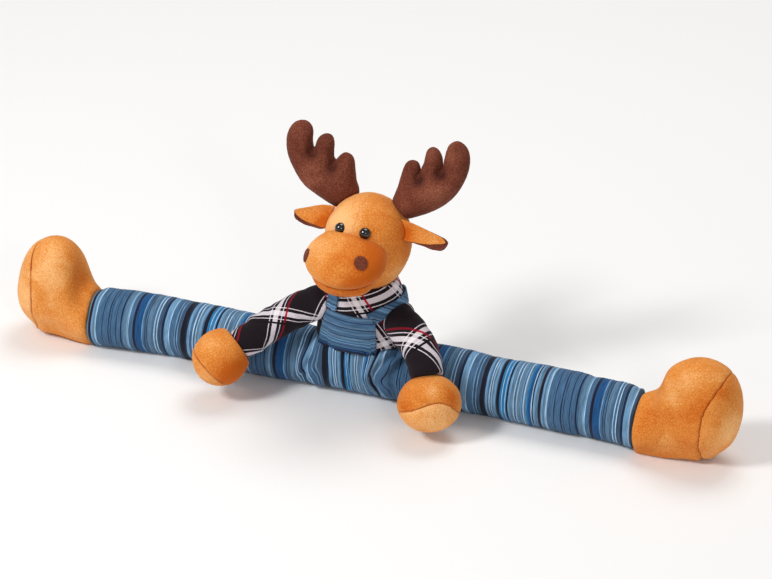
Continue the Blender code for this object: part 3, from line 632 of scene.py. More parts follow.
# %% Ears
EAR_ROWS = {
    # along, drop, half width above and below the middle, in mm
    "left": (
        (0, 0, 12.4, 12.6), (8, 0.6, 12.6, 12.8), (16, 1.4, 11.8, 12.2), (24, 2.4, 9.8, 11),
        (32, 3.2, 7.2, 9.4), (40, 3.8, 5, 7), (46, 4.2, 3.4, 4.6), (49.5, 4.4, 1.4, 2),
    ),
    "right": (
        (0, 0, 12, 9.8), (8, 0.3, 11.6, 9.6), (16, 0.8, 10.8, 9.2), (24, 1.4, 9.3, 8.2),
        (32, 1.9, 7.6, 6.9), (40, 2.4, 6, 4.6), (46, 2.8, 4.6, 3), (49.5, 3.2, 2.6, 1.6),
    ),
}
EAR_ROOTS = {"left": (-39.5, -1.0, 17.0), "right": (44.0, -1.0, 18.5)}
EAR_ROLLS = {
    # along, how far the brown layer reaches beyond the orange one below
    "left": ((0, 0.8), (8, 2.4), (30, 3.4), (46, 3.4), (49.5, 2.6)),
    "right": ((0, 0.3), (12, 1), (26, 2.6), (36, 5.2), (46, 6.4), (49.5, 5)),
}
EAR_TILT = 18.0
EAR_STEPS = (26, 16)
EAR_LAYER = 1.5 * MM
EAR_INSET = 0.9
EAR_CUP_POWER = 1.8
EAR_CURL = 0.7
EAR_TIP_ROUND = 0.04
EAR_LOOK = 0.08
EAR_CUP_DEPTH = {
    # cup of the whole ear, more at the root below and above, how soon it fades
    "left": (0.30, 0.62, 0.28, 13),
    "right": (0.24, 0.34, -0.20, 12),
}
HEAD_TURN = Matrix.Rotation(math.radians(HEAD_YAW), 3, "Z")
head_skin = skin_of(forms["head"])


def ear_layer(name, word, side, behind, rolls):
    """Loft one layer of an ear, behind mm back, with the brown layer's extra reach in rolls."""
    rows = np.array(EAR_ROWS[word])
    turn = HEAD_TURN @ Matrix.Rotation(math.radians(-EAR_TILT), 3, "X")
    root = ORIGIN + HEAD_MIDDLE + HEAD_TURN @ (Vector(EAR_ROOTS[word]) * MM)
    outwards = turn @ Vector((side, 0.0, 0.0))
    length = rows[-1, 0]
    shallow, below_root, above_root, fade = EAR_CUP_DEPTH[word]
    bm = bmesh.new()
    grid = []
    for step in range(EAR_STEPS[0] + 1):
        share = step / EAR_STEPS[0]
        along = length * share
        drop, above, below = (np.interp(along, rows[:, 0], rows[:, column]) for column in (1, 2, 3))
        extra = np.interp(along, [row[0] for row in rolls], [row[1] for row in rolls]) if rolls else 0.0
        line = []
        for place in range(EAR_STEPS[1] + 1):
            across = 2 * place / EAR_STEPS[1] - 1
            half = above - (EAR_INSET if rolls else 0.0) if across > 0 else below + extra
            fold = (above_root if across > 0 else below_root) * math.exp(-((along / fade) ** 2))
            cup = (shallow + fold) * abs(across) ** EAR_CUP_POWER * half
            curl = extra * EAR_CURL * max(0.0, -across) ** 3
            offset = Vector((0.0, behind - cup - curl, across * half - drop)) * MM
            foot = root + turn @ offset
            reach, _, _, _ = head_skin.ray_cast(foot + outwards * EAR_LOOK, -outwards)
            start = (reach - foot).dot(outwards) if reach else 0.0
            tip = (length + extra * 0.5) * MM * (1 - EAR_TIP_ROUND * across**2)
            line.append(bm.verts.new(foot + outwards * (start + (tip - start) * share)))
        grid.append(line)
    for first, second in zip(grid, grid[1:]):
        for place in range(EAR_STEPS[1]):
            bm.faces.new((first[place], first[place + 1], second[place + 1], second[place]))
    piece = make_piece(name, bm)
    layer = piece.modifiers.new("layer", "SOLIDIFY")
    layer.thickness = EAR_LAYER
    layer.offset = 0.0
    subdivide(piece, 1)
    return apply_all(piece)


for word, side in (("left", -1.0), ("right", 1.0)):
    forms[f"ear_{word}"] = ear_layer(f"ear_{word}_cloth", word, side, 0.0, None)
    forms[f"ear_back_{word}"] = ear_layer(f"ear_back_{word}_cloth", word, side, 2.0, EAR_ROLLS[word])
print("ears:", {node: len(piece.data.polygons) for node, piece in forms.items() if node.startswith("ear")})

# %% [markdown]
# The trouser roll gets a regular net of faces instead, so that its ribs and folds run true. Each ring of
# the net is found by looking outwards from the roll's middle line to the solid's skin.

# %% Net of the trouser legs
LEG_AXIS = (6.0, 31.5)
LEG_RADIUS = 34.0
RING_STEP = 5.0 * MM
RING_POINTS = 32
END_MARGIN = 0.3 * MM


def leg_net():
    low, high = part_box("trouser_tube")
    skin = skin_of(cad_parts["trouser_tube"])
    count = round((high.x - low.x) / RING_STEP)
    middle = at_mm(0.0, *LEG_AXIS)
    bm = bmesh.new()
    rings = []
    for step in range(count + 1):
        x = low.x + END_MARGIN + (high.x - low.x - 2 * END_MARGIN) * step / count
        start = Vector((x, middle.y, middle.z))
        ring = []
        for index in range(RING_POINTS):
            angle = math.tau * index / RING_POINTS
            place, _, _, _ = skin.ray_cast(start, Vector((0.0, math.cos(angle), math.sin(angle))))
            ring.append(bm.verts.new(place))
        rings.append(ring)
    for near_ring, far_ring in zip(rings, rings[1:]):
        for index in range(RING_POINTS):
            after = (index + 1) % RING_POINTS
            bm.faces.new((near_ring[index], near_ring[after], far_ring[after], far_ring[index]))
    bm.faces.new(rings[0])
    bm.faces.new(rings[-1])
    bmesh.ops.recalc_face_normals(bm, faces=bm.faces)
    return make_piece("trouser_tube_cloth", bm)


forms["trouser_tube"] = leg_net()
print("leg net:", len(forms["trouser_tube"].data.polygons), "faces")

# %% [markdown]
# Filling: fibre pushes the cloth out while the seams hold it. The trouser net is drawn in a little and
# given slightly more cloth than it needs, and then Blender's cloth simulation blows it up again with
# no gravity. The cloth near a seam is pinned. How far a point may move is capped, and nothing may sink
# through the floor.

# %% Filling
FRAMES = 20
PRESSURE = 4.0
PIN_WITHIN = 3.0 * MM


def held_by(piece, skins, reach):
    """How strongly each point is held by a neighbour's skin, from 0 to 1."""
    found = np.zeros(len(piece.data.vertices))
    for index, point in enumerate(points_of(piece)):
        for skin in skins:
            _, _, _, distance = skin.find_nearest(Vector(point), reach)
            if distance is not None:
                found[index] = max(found[index], 1.0 - distance / reach)
    return found


def fill(piece, neighbours, shrink, slack, cap, floor_z):
    """Blow a sewn form up as stuffing does."""
    before = points_of(piece)
    skins = [skin_of(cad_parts[node]) for node in neighbours]
    held = held_by(piece, skins, PIN_WITHIN)
    group = piece.vertex_groups.new(name="sewn")
    for index in np.flatnonzero(held > 0):
        group.add([int(index)], 1.0, "REPLACE")
    move_points(piece, before - normals_of(piece) * (shrink * (held == 0))[:, None])
    cloth = piece.modifiers.new("filling", "CLOTH")
    cloth.settings.quality = 6
    cloth.settings.use_pressure = True
    cloth.settings.uniform_pressure_force = PRESSURE
    cloth.settings.effector_weights.gravity = 0.0
    cloth.settings.vertex_group_mass = "sewn"
    cloth.settings.shrink_min = -slack
    cloth.settings.bending_stiffness = 0.4
    scene.frame_start = 1
    scene.frame_end = FRAMES
    for step in range(1, FRAMES + 1):
        scene.frame_set(step)
    graph = bpy.context.evaluated_depsgraph_get()
    mesh = piece.evaluated_get(graph).to_mesh()
    after = np.empty(len(mesh.vertices) * 3)
    mesh.vertices.foreach_get("co", after)
    piece.modifiers.clear()
    piece.vertex_groups.clear()
    scene.frame_set(1)
    moved = after.reshape(-1, 3) - before
    length = np.linalg.norm(moved, axis=1)
    moved *= np.minimum(1.0, cap / np.maximum(length, 1e-9))[:, None]
    after = before + moved
    after[:, 2] = np.where(before[:, 2] < 0.0005, before[:, 2], np.maximum(after[:, 2], floor_z))
    move_points(piece, after)
    print("filled", piece.name, "moved up to", round(float(length.max()) / MM, 1), "mm")


LEG_NEIGHBOURS = ("foot_left", "foot_right", "bib", "shirt_body", "strap_left", "strap_right")
fill(forms["trouser_tube"], LEG_NEIGHBOURS, 2.0 * MM, 0.05, 3.0 * MM, 0.0)

# %% [markdown]
# The lap gathers where the waist sits on the roll. The simulation gives small puckers, and the main
# folds are placed where they show. Each row gives the fold's places along the roll, from the waist
# down, then its depth and its half width. A fold is a trough with a low ridge on each side.

# %% Folds and ribs of the legs
LAP_FOLDS = (
    # x at the waist, above mid height, at mid height and low down, depth, half width
    (-43, -51, -57, -62, 3.6, 4),
    (-36, -42, -43, -41, 1.9, 3),
    (-28, -29, -27, -25, 1.2, 2.8),
    (-16, -10, -8, -7, 1.7, 3),
    (0, -1, 1, 3, 1.2, 3),
    (14, 9, 8, 10, 1.3, 3),
    (45, 31, 21, 28, 4.4, 3.8),
    (55, 48, 45, 50, 1.7, 3.5),
)
FOLD_ANGLES = (122, 150, 175, 205)
FOLD_FADE = (104.0, 122.0, 200.0, 232.0)
RIB_MM = 3.7
RIB_DEPTH = 0.2 * MM
WAVE_MM = 0.55
LEG_REACH = 324.0
LEG_REST = 0.0008
RIDGE = 0.42
DENTS = (
    # x, depth, half width, leaning: short dents across the outer legs
    (-232, 0.9, 4, 3), (-205, 0.6, 3, -2), (-150, 0.5, 3, 2), (141, 1.1, 4, 6),
    (152, 0.7, 3, 5), (205, 0.5, 3, -3), (262, 1, 4, 5), (288, 0.6, 3, 3),
)


def round_the_leg(points):
    """Place along the roll in mm and angle round it in degrees. 90 is the top and 180 the front."""
    middle = at_mm(0.0, *LEG_AXIS)
    x = (points[:, 0] - ORIGIN.x) / MM
    angle = np.degrees(np.arctan2(points[:, 2] - middle.z, points[:, 1] - middle.y)) % 360
    return x, angle


def trough(off, half):
    """A fold's section: 1 at its middle, with a low ridge on each side."""
    return np.exp(-((off / half) ** 2)) - RIDGE * np.exp(-(((np.abs(off) - 2.0 * half) / half) ** 2))


def shape_legs(piece):
    subdivide(piece, 2)
    apply_all(piece)
    points = points_of(piece)
    x, angle = round_the_leg(points)
    fade = np.interp(angle, FOLD_FADE, (0.0, 1.0, 1.0, 0.0))
    depth = np.zeros(len(points))
    for *places, deep, half in LAP_FOLDS:
        line = np.interp(angle, FOLD_ANGLES, places)
        depth += deep * trough(x - line, half) * fade
    for where, deep, half, patches_and_painted_light in DENTS:
        line = where + patches_and_painted_light * np.sin(np.radians(angle))
        depth += deep * trough(x - line, half) * np.exp(-(((angle - 150.0) / 80.0) ** 2))
    waves = np.array([noise.noise(Vector((a / 9.0, b / 38.0, 3.0))) for a, b in zip(x, angle)])
    ribs = np.sin(math.tau * (x + 1.5 * waves) / RIB_MM) * RIB_DEPTH
    inner = np.clip((LEG_REACH - np.abs(x)) / 4.0, 0.0, 1.0)
    offset = -depth * MM + ribs + waves * WAVE_MM * MM
    resting = points[:, 2] < LEG_REST
    moved = points + normals_of(piece) * (offset * inner * ~resting)[:, None]
    moved[:, 2] = np.maximum(moved[:, 2], 0.0)
    move_points(piece, moved)


shape_legs(forms["trouser_tube"])
print("legs:", len(forms["trouser_tube"].data.polygons), "faces")

# %% [markdown]
# Each point of a patterned piece needs its place on the cloth. Along the legs it is the distance from
# the middle, with the cloth that is lost in gathers taken up: the table pairs places on the roll with
# places on the cloth. Around the folds the stripes are pulled sideways.

# %% Cloth places on the legs
CLOTH_ALONG = (
    # place on the roll, place on the cloth
    (-326, -357), (-320, -351), (-283, -309), (-262, -285), (-234, -256),
    (-209, -229.5), (-182, -210), (-140, -174), (-96, -103), (-66, -75),
    (-35, -40.5), (-14, -21.5), (16, 14), (26, 27), (116, 116), (326, 326),
)
PULLS = (
    # x, half width, angle, half angle, pull to the right
    (29, 14, 174, 24, 11),
    (-54, 12, 172, 26, 7),
)


def set_attribute(piece, name, kind, values):
    found = piece.data.attributes.new(name, kind, "POINT")
    found.data.foreach_set("vector" if kind == "FLOAT_VECTOR" else "value", np.asarray(values, float).ravel())


def cloth_places(piece, along, across):
    set_attribute(piece, "cloth", "FLOAT_VECTOR", np.stack([along, across, np.zeros(len(along))], axis=1))


def lay_leg_cloth(piece):
    x, angle = round_the_leg(points_of(piece))
    pulled = x.copy()
    for where, half, at, spread, pull in PULLS:
        pulled += pull * np.exp(-(((x - where) / half) ** 2)) * np.exp(-(((angle - at) / spread) ** 2))
    rows = np.array(CLOTH_ALONG)
    cloth_places(piece, np.interp(pulled, rows[:, 0], rows[:, 1]), np.radians(angle) * LEG_RADIUS)


lay_leg_cloth(forms["trouser_tube"])
print("cloth from", CLOTH_ALONG[0][1], "to", CLOTH_ALONG[-1][1], "mm")

# %% [markdown]
# The bib's stripes are level, so a point's height is enough. A strap bends over the shoulder, so its
# places are distances along its own mesh, counted from its lower front end outwards.

# %% Cloth places on the bib and straps
def steps_from(piece, seeds):
    """Shortest way along the mesh from any of the seeds, in mm."""
    points = points_of(piece) / MM
    found = np.full(len(points), np.inf)
    found[seeds] = 0.0
    edges = np.array([edge.vertices[:] for edge in piece.data.edges])
    lengths = np.linalg.norm(points[edges[:, 0]] - points[edges[:, 1]], axis=1)
    for _ in range(len(points)):
        before = found.copy()
        np.minimum.at(found, edges[:, 0], before[edges[:, 1]] + lengths)
        np.minimum.at(found, edges[:, 1], before[edges[:, 0]] + lengths)
        if np.allclose(before, found):
            break
    return found


bib_low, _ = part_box("bib")
bib_points = points_of(forms["bib"])
bib_aside = np.round((bib_points[:, 0] - bib_low.x) / (3 * MM)).astype(int)
bib_edge = np.array([
    bib_points[np.abs(bib_aside - place) <= 1][:, 2].min() for place in range(bib_aside.max() + 1)
])
bib_up = (bib_points[:, 2] - bib_edge[bib_aside]) / MM
bib_bend = (bib_edge[bib_aside] - bib_low.z) / MM * np.clip((bib_up - 5.0) / 25.0, 0.0, 1.0)
cloth_places(forms["bib"], bib_up + bib_bend, bib_points[:, 0] / MM)
for node in ("strap_left", "strap_right"):
    strap_points = points_of(forms[node])
    in_front = strap_points[:, 1] < ORIGIN.y - 10 * MM
    foot = strap_points[in_front][:, 2].min()
    seeds = np.flatnonzero(in_front & (strap_points[:, 2] < foot + 1.5 * MM))
    along = steps_from(forms[node], seeds)
    cloth_places(forms[node], along, strap_points[:, 0] / MM)
    print(node, "is", round(float(along[np.isfinite(along)].max())), "mm long")

# %% [markdown]
# The bib is sewn to the shirt above and hangs free below, so its lower edge lies over the gathered
# waist of the trousers. Its lower corners are let down and out, its middle is drawn up a little, and
# the sheet is then lifted off the trousers wherever it would sink into them. Its places on the cloth
# are already set, so the stripes go along.

# %% Lay the bib over the waist
BIB_DROPS = ((-44.0, 6.0), (-36.0, 2.0), (-25.0, -3.4), (-5.0, -4.6), (10.0, -3.8), (18.0, 0.0), (23.0, 3.4))
BIB_SIDES = ((-44.0, -3.0), (-25.0, 0.0), (0.0, 0.0), (23.0, 4.0))
BIB_LOOSE = 26.0
BIB_CLEAR = (0.6, 0.9)
BIB_THROUGH = 14.0


def signed_places(skin, points):
    """Nearest place, outward normal and height above the skin of each point."""
    places, normals, heights = [], [], []
    for point in points:
        place, normal, _, _ = skin.find_nearest(Vector(point))
        places.append(place)
        normals.append(normal)
        heights.append((Vector(point) - place).dot(normal))
    return np.array(places), np.array(normals), np.array(heights) / MM


def lay_bib():
    piece = forms["bib"]
    points = points_of(piece)
    shirt, trousers = skin_of(forms["shirt_body"]), skin_of(forms["trouser_tube"])
    low = points[:, 2].min()
    loose = np.clip(1 - (points[:, 2] - low) / (BIB_LOOSE * MM), 0.0, 1.0)
    loose = loose**2 * (3 - 2 * loose)
    aside = np.interp((points[:, 0] - ORIGIN.x) / MM, *zip(*BIB_SIDES))
    _, _, before = signed_places(shirt, points)
    moved = points.copy()
    moved[:, 0] += aside * MM
    _, away, after = signed_places(shirt, moved)
    moved += away * ((before - after) * MM)[:, None]
    drops = np.interp((points[:, 0] - ORIGIN.x) / MM, *zip(*BIB_DROPS))
    moved[:, 2] -= loose * drops * MM
    own = normals_of(piece)
    for _ in range(2):
        _, away, height = signed_places(trousers, moved)
        wanted = BIB_CLEAR[0] + BIB_CLEAR[1] * (1 + np.sum(own * away, axis=1))
        lift = np.maximum(wanted - height, 0.0) * (height > -BIB_THROUGH)
        moved += away * (lift * MM)[:, None]
    move_points(piece, moved)
    print("bib let down by", BIB_DROPS[0][1], "mm at its left corner")


lay_bib()

# %% [markdown]
# The shirt's cloth wraps round the body, and along each arm. A point's place on it is how far along
# the piece it lies and how far round. Round the body that is a length on an ellipse. Along an arm it is
# measured on a bent middle line, and each point takes a weighted mean of the nearest stretch of that
# line, so that the places run on smoothly past a bend.

# %% Places on the shirt
BODY_MIDDLE = (-1.0, 5.5)
BODY_HALVES = (48.0, 33.0)
SLEEVE_RADIUS = 19.5
SLEEVE_LINES = {
    # node: the angle that shows most, then the middle line
    "sleeve_left": (100, (
        (-20, 5, 113), (-44, -2, 108.5), (-62, -8, 101), (-80, -17, 91.5),
        (-97, -28, 81), (-113, -41, 70.5), (-132, -59, 56),
    )),
    "sleeve_right": (45, (
        (18, 5.5, 111), (43, -5, 105), (61, -17, 97), (78, -30, 88),
        (88.5, -42.5, 77), (97, -57, 62),
    )),
}
LINE_STEP_MM = 1.5
LINE_BLUR_MM = 7.0
LINE_EASES = 40
ELLIPSE_HALF = 360


def ellipse_places(turn, halves):
    """Length along an ellipse from its front to each angle."""
    angles = np.linspace(-math.pi, math.pi, 2 * ELLIPSE_HALF + 1)
    outline = np.stack([halves[0] * np.sin(angles), halves[1] * np.cos(angles)], axis=1)
    steps = np.linalg.norm(np.diff(outline, axis=0), axis=1)
    lengths = np.concatenate([[0.0], np.cumsum(steps)])
    return np.interp(turn, angles, lengths - lengths[ELLIPSE_HALF])


def smooth_line(rows):
    """A bent line as close points, eased at its corners."""
    knots = np.array([at_mm(*row) for row in rows]) / MM
    reach = np.concatenate([[0.0], np.cumsum(np.linalg.norm(np.diff(knots, axis=0), axis=1))])
    places = np.arange(0.0, reach[-1], LINE_STEP_MM)
    line = np.stack([np.interp(places, reach, knots[:, axis]) for axis in range(3)], axis=1)
    for _ in range(LINE_EASES):
        line[1:-1] = (line[:-2] + 2 * line[1:-1] + line[2:]) / 4
    return line


def arm_places(points, rows):
    """Distance in mm along an arm and angle round it in degrees, 90 being up, for each point."""
    line = smooth_line(rows)
    ways = np.gradient(line, axis=0)
    ways /= np.linalg.norm(ways, axis=1)[:, None]
    reach = np.arange(len(line)) * LINE_STEP_MM
    gaps = ((points[:, None, :] / MM - line[None, :, :]) ** 2).sum(axis=2)
    weights = np.exp(-(gaps - gaps.min(axis=1)[:, None]) / LINE_BLUR_MM**2)
    weights /= weights.sum(axis=1)[:, None]
    way = weights @ ways
    way /= np.linalg.norm(way, axis=1)[:, None]
    side = np.cross(way, (0.0, 0.0, 1.0))
    side /= np.linalg.norm(side, axis=1)[:, None]
    up = np.cross(side, way)
    off = points / MM - weights @ line
    return weights @ reach, np.degrees(np.arctan2((off * up).sum(axis=1), (off * side).sum(axis=1)))


shirt_places = {}
body_points = points_of(forms["shirt_body"])
body_middle = at_mm(*BODY_MIDDLE, 0.0)
body_turn = np.arctan2(
    (body_points[:, 0] - body_middle.x) / BODY_HALVES[0],
    -(body_points[:, 1] - body_middle.y) / BODY_HALVES[1],
)
shirt_places["shirt_body"] = np.stack(
    [ellipse_places(body_turn, BODY_HALVES), body_points[:, 2] / MM], axis=1
)
for node, (shown, rows) in SLEEVE_LINES.items():
    along, angle = arm_places(points_of(forms[node]), rows)
    angle = (angle - shown + 180.0) % 360.0 - 180.0 + shown
    shirt_places[node] = np.stack([along, np.radians(angle) * SLEEVE_RADIUS], axis=1)
    print(node, "is", round(float(np.ptp(along))), "mm long")

# %% [markdown]
# Sleeves crumple at the elbow and under the arm, and the shirt wrinkles where the straps press on it.
# A stretched noise gives the small wrinkles, and rows of given creases give the main ones.

# %% Wrinkles of the shirt
SLEEVE_CREASES = {
    # along the arm, angle round it, half width along, half angle, depth, lean in mm
    "sleeve_left": (
        (14, 60, 3.5, 70, 1.6, 10), (52, 10, 4, 60, 1.7, -10),
        (60, -40, 3.5, 60, 1.4, -8), (84, 80, 4, 50, 0.9, 6),
        (112, 0, 3, 180, 0.8, 3),
    ),
    "sleeve_right": (
        (12, 90, 3.5, 80, 1.5, 8), (40, 170, 4, 70, 1.7, 8),
        (52, 200, 3.5, 60, 1.5, 6), (66, 60, 4, 60, 0.9, -5),
        (82, 0, 3, 180, 0.8, 3),
    ),
}
SLEEVE_WRINKLE = ((11.0, 26.0), 1.3 * MM)
BODY_WRINKLE = ((12.0, 30.0), 0.9 * MM)


def wrinkle(places, scale, depth, seed):
    """Small wrinkles from noise that is stretched along the second place."""
    return np.array([noise.noise(Vector((a / scale[0], b / scale[1], seed))) for a, b in places]) * depth


for seed, (node, creases) in enumerate(SLEEVE_CREASES.items()):
    places = shirt_places[node]
    angle = np.degrees(places[:, 1] / SLEEVE_RADIUS)
    offset = wrinkle(places, *SLEEVE_WRINKLE, seed + 7.0)
    for along, at, half, spread, deep, patches_and_painted_light in creases:
        off_angle = (angle - at + 180.0) % 360.0 - 180.0
        line = along + patches_and_painted_light * np.clip(off_angle / spread, -1.0, 1.0)
        fade = np.exp(-((off_angle / spread) ** 2))
        offset -= deep * MM * trough(places[:, 0] - line, half) * fade
    move_points(forms[node], points_of(forms[node]) + normals_of(forms[node]) * offset[:, None])
body_piece = forms["shirt_body"]
body_offset = wrinkle(shirt_places["shirt_body"], *BODY_WRINKLE, 2.0)
move_points(body_piece, points_of(body_piece) + normals_of(body_piece) * body_offset[:, None])
print("wrinkled:", list(SLEEVE_CREASES), "and the body")

# %% [markdown]
# A shirt like this is cut on the bias, so the tartan lies slantwise, and it shears a little where it
# bends. Each piece has its own lay: a place on it where two white bands cross, and for each way of the
# threads the direction in which its bands are counted.

# %% Lay the tartan
TARTAN_LAYS = {
    # node: crossing, across the bands with a red line, across the bands with a black line
    "shirt_body": ((5, 126.8), (0.843, 0.538), (0.255, -0.874)),
    "sleeve_left": ((78, 42.4), (-0.743, 0.67), (0.616, 0.788)),
    "sleeve_right": ((71.2, 19.5), (-0.73, 0.68), (0.96, 0.27)),
}
for node, (crossing, red_way, black_way) in TARTAN_LAYS.items():
    off = shirt_places[node] - np.array(crossing)
    cloth_places(forms[node], off @ np.array(red_way), off @ np.array(black_way))
print("tartan laid on", list(TARTAN_LAYS))

# %% [markdown]
# Hands shape a stuffed toy after it is sewn: filling is pushed about, and the cloth is pressed in at
# the notches between the tines. Each row below moves the cloth round one place by a few millimetres,
# less and less with the distance. Pieces that share a seam move together, so it stays closed. A swell
# moves the cloth straight out or in, and a twist slides a seam round a stuffed ball.

# %% Pushes
PUSHES = (
    # nodes, place, radius, move
    (("foot_left", "sole_left"), (-385, -30, 2), 30, (3, 0, 6)),
    (("foot_left", "sole_left"), (-362, -20, 0), 26, (0, 0, 3)),
    (("foot_left", "sole_left"), (-334, -8, 82), 15, (-2.5, 5, -1)),
    (("foot_right", "sole_right"), (412, -36, 2), 32, (0, 2, 6)),
    (("foot_right", "sole_right"), (380, -30, 0), 28, (0, 0, 3)),
    (("foot_right", "sole_right"), (356, -10, 98), 20, (-3, 0, 6.5)),
    (("muzzle",), (-24, -38, 218), 13, (0, 0, 2)),
)
SWELLS = (
    # node, place, radius, how far out along the skin (in where below 0)
    ("antler_left", (-67, 24, 274), 7, -3.2),
    ("antler_left", (-43, 22, 262), 7, -3.2),
    ("antler_right", (59, 22, 266), 7, -3.4),
    ("antler_right", (83, 25, 276), 7, -3.4),
    ("antler_left", (-80, 24, 292), 12, 1.1),
    ("antler_left", (-53, 25, 286), 8, 2.8),
    ("antler_left", (-27, 24, 270), 8, 2.6),
    ("antler_right", (52, 30, 278), 8, 2.8),
    ("antler_right", (74, 27, 290), 8, 2.8),
    ("antler_right", (102, 29, 300), 12, 1.1),
    ("antler_left", (-60, 20, 256), 14, 1.2),
    ("antler_right", (82, 20, 256), 14, 1.2),
    ("foot_left", (-337, 0, 84), 12, -0.9),
    ("muzzle", (30, -75, 190), 18, 0.6),
)
TWISTS = (
    # nodes, middle of the ball, axis, angle in degrees, place that turns most, radius
    (("foot_left", "sole_left"), (-366, 0, 72), (0, 1, 0), -12, (-392, -10, 100), 32),
    (("foot_right", "sole_right"), (390, 0, 70), (0, 0, 1), -17, (414, -30, 74), 38),
    (("foot_right", "sole_right"), (390, 0, 70), (0, 0, 1), -10, (408, -28, 22), 26),
    (("hand_right", "palm_right"), (103, -67, 42), (0.94, 0.34, 0), -30, (126, -86, 45), 32),
)


def fading(points, place, radius):
    """1 at a place that is given in mm, and less and less away from it."""
    away = np.linalg.norm(points - np.array(at_mm(*place)), axis=1) / MM
    return np.exp(-((away / radius) ** 2))


def move_above_floor(node, points):
    points[:, 2] = np.maximum(points[:, 2], 0.0)
    move_points(forms[node], points)


for node, place, radius, out in SWELLS:
    points = points_of(forms[node])
    share = fading(points, place, radius) * out * MM
    move_points(forms[node], points + normals_of(forms[node]) * share[:, None])
for nodes, middle, axis, angle, place, radius in TWISTS:
    middle = at_mm(*middle)
    for node in nodes:
        points = points_of(forms[node])
        for index, turn in enumerate(fading(points, place, radius) * math.radians(angle)):
            points[index] = Matrix.Rotation(turn, 3, axis) @ (Vector(points[index]) - middle) + middle
        move_above_floor(node, points)
for nodes, place, radius, move in PUSHES:
    for node in nodes:
        points = points_of(forms[node])
        share = fading(points, place, radius)
        move_above_floor(node, points + share[:, None] * np.array(move) * MM)
print("pushes:", len(PUSHES))

# %% [markdown]
# The head has a seam down its middle, from the nape over the forehead to the muzzle. A seam is a shallow
# groove, a stitch wide, where both panels turn in. It is pressed into the mesh, and the same distance
# sets a painted shade in the groove.

# %% Seams inside the pieces
def in_head(points):
    """Points in mm from the head's middle, in its own turned directions: right, back and up."""
    middle = ORIGIN + HEAD_MIDDLE
    off = (points - np.array(middle)) / MM
    turn = math.radians(HEAD_YAW)
    cosine, sine = math.cos(turn), math.sin(turn)
    return np.stack(
        [off[:, 0] * cosine + off[:, 1] * sine, -off[:, 0] * sine + off[:, 1] * cosine, off[:, 2]], axis=1
    )


GROOVE_HALF = 1.1
GROOVE_DEPTH = 0.55
extra_seams = {}


def press_groove(node, distance, depth=GROOVE_DEPTH, half=GROOVE_HALF):
    """Press a groove where distance, in mm, is small, and keep it for the painted shade in the groove."""
    piece = forms[node]
    share = np.exp(-((distance / half) ** 2))
    move_points(piece, points_of(piece) - normals_of(piece) * (share * depth * MM)[:, None])
    extra_seams[node] = np.maximum(extra_seams.get(node, 0.0), share)


head_places = in_head(points_of(forms["head"]))
press_groove("head", np.where(head_places[:, 2] > -10.0, head_places[:, 0], 99.0))
print("grooves:", list(extra_seams))

# %% [markdown]
# The nostrils are flat patches of brown plush, sewn down all round. Each solid's domed face is pressed
# down until it stands hardly a millimetre proud of the muzzle.

# %% Press the nostrils flat
NOSTRIL_PROUD = 0.5 * MM
NOSTRIL_GIVE = 0.35
muzzle_skin = skin_of(forms["muzzle"])
for node in ("nostril_left", "nostril_right"):
    points = points_of(forms[node])
    for index, point in enumerate(points):
        place, normal, _, _ = muzzle_skin.find_nearest(Vector(point))
        proud = (Vector(point) - place).dot(normal)
        if proud > NOSTRIL_PROUD:
            points[index] = place + normal * (NOSTRIL_PROUD + (proud - NOSTRIL_PROUD) * NOSTRIL_GIVE)
    move_points(forms[node], points)
print("nostrils stand", NOSTRIL_PROUD / MM, "mm proud at their edges")

# %% [markdown]
# Plush pieces are not even: the filling lumps a little, and the pile gives the outline a faint fuzz. Two
# noises move the skin along its normals, one broad and shallow, one as fine as the mesh allows.

# %% Lumps and pile
LUMP_MM = 26.0
LUMP_DEPTH = 0.7
PILE_MM = 2.6
PILE_DEPTH = 0.17
PLUSH_REST = 0.0006
SMALL = ("nostril_left", "nostril_right")
SMALL_SHARE = 0.3


def rough_skin(node, seed):
    piece = forms[node]
    points = points_of(piece)
    depth = SMALL_SHARE if node in SMALL else 1.0
    offsets = []
    for point in points / MM:
        lump = noise.noise(Vector(point / LUMP_MM) + Vector((seed, 0.0, 0.0))) * LUMP_DEPTH
        pile = noise.noise(Vector(point / PILE_MM)) * PILE_DEPTH
        offsets.append((lump + pile) * depth)
    offsets = np.array(offsets) * MM
    resting = points[:, 2] < PLUSH_REST
    moved = points + normals_of(piece) * (offsets * ~resting)[:, None]
    moved[:, 2] = np.maximum(moved[:, 2], 0.0)
    move_points(piece, moved)


for seed, node in enumerate(PLUSH_FORMS):
    rough_skin(node, float(seed))
print("rough skins:", len(PLUSH_FORMS))

# %% [markdown]
# Thread pulls the two sides of a seam together until they touch. The solids are a hair apart there, so
# each side is drawn halfway across to the other.

# %% Draw the seams shut
SEAM_PAIRS = (
    ("foot_left", "sole_left"), ("foot_right", "sole_right"), ("foot_left", "trouser_tube"),
    ("foot_right", "trouser_tube"), ("hand_left", "palm_left"), ("hand_right", "palm_right"),
    ("hand_left", "sleeve_left"), ("hand_right", "sleeve_right"), ("muzzle", "chin"), ("head", "muzzle"),
    ("head", "chin"), ("sleeve_left", "shirt_body"), ("sleeve_right", "shirt_body"),
    ("head", "antler_left"), ("head", "antler_right"), ("head", "shirt_body"),
)
DRAW_WITHIN = 2.2 * MM
STITCHED_GAP = 0.1 * MM


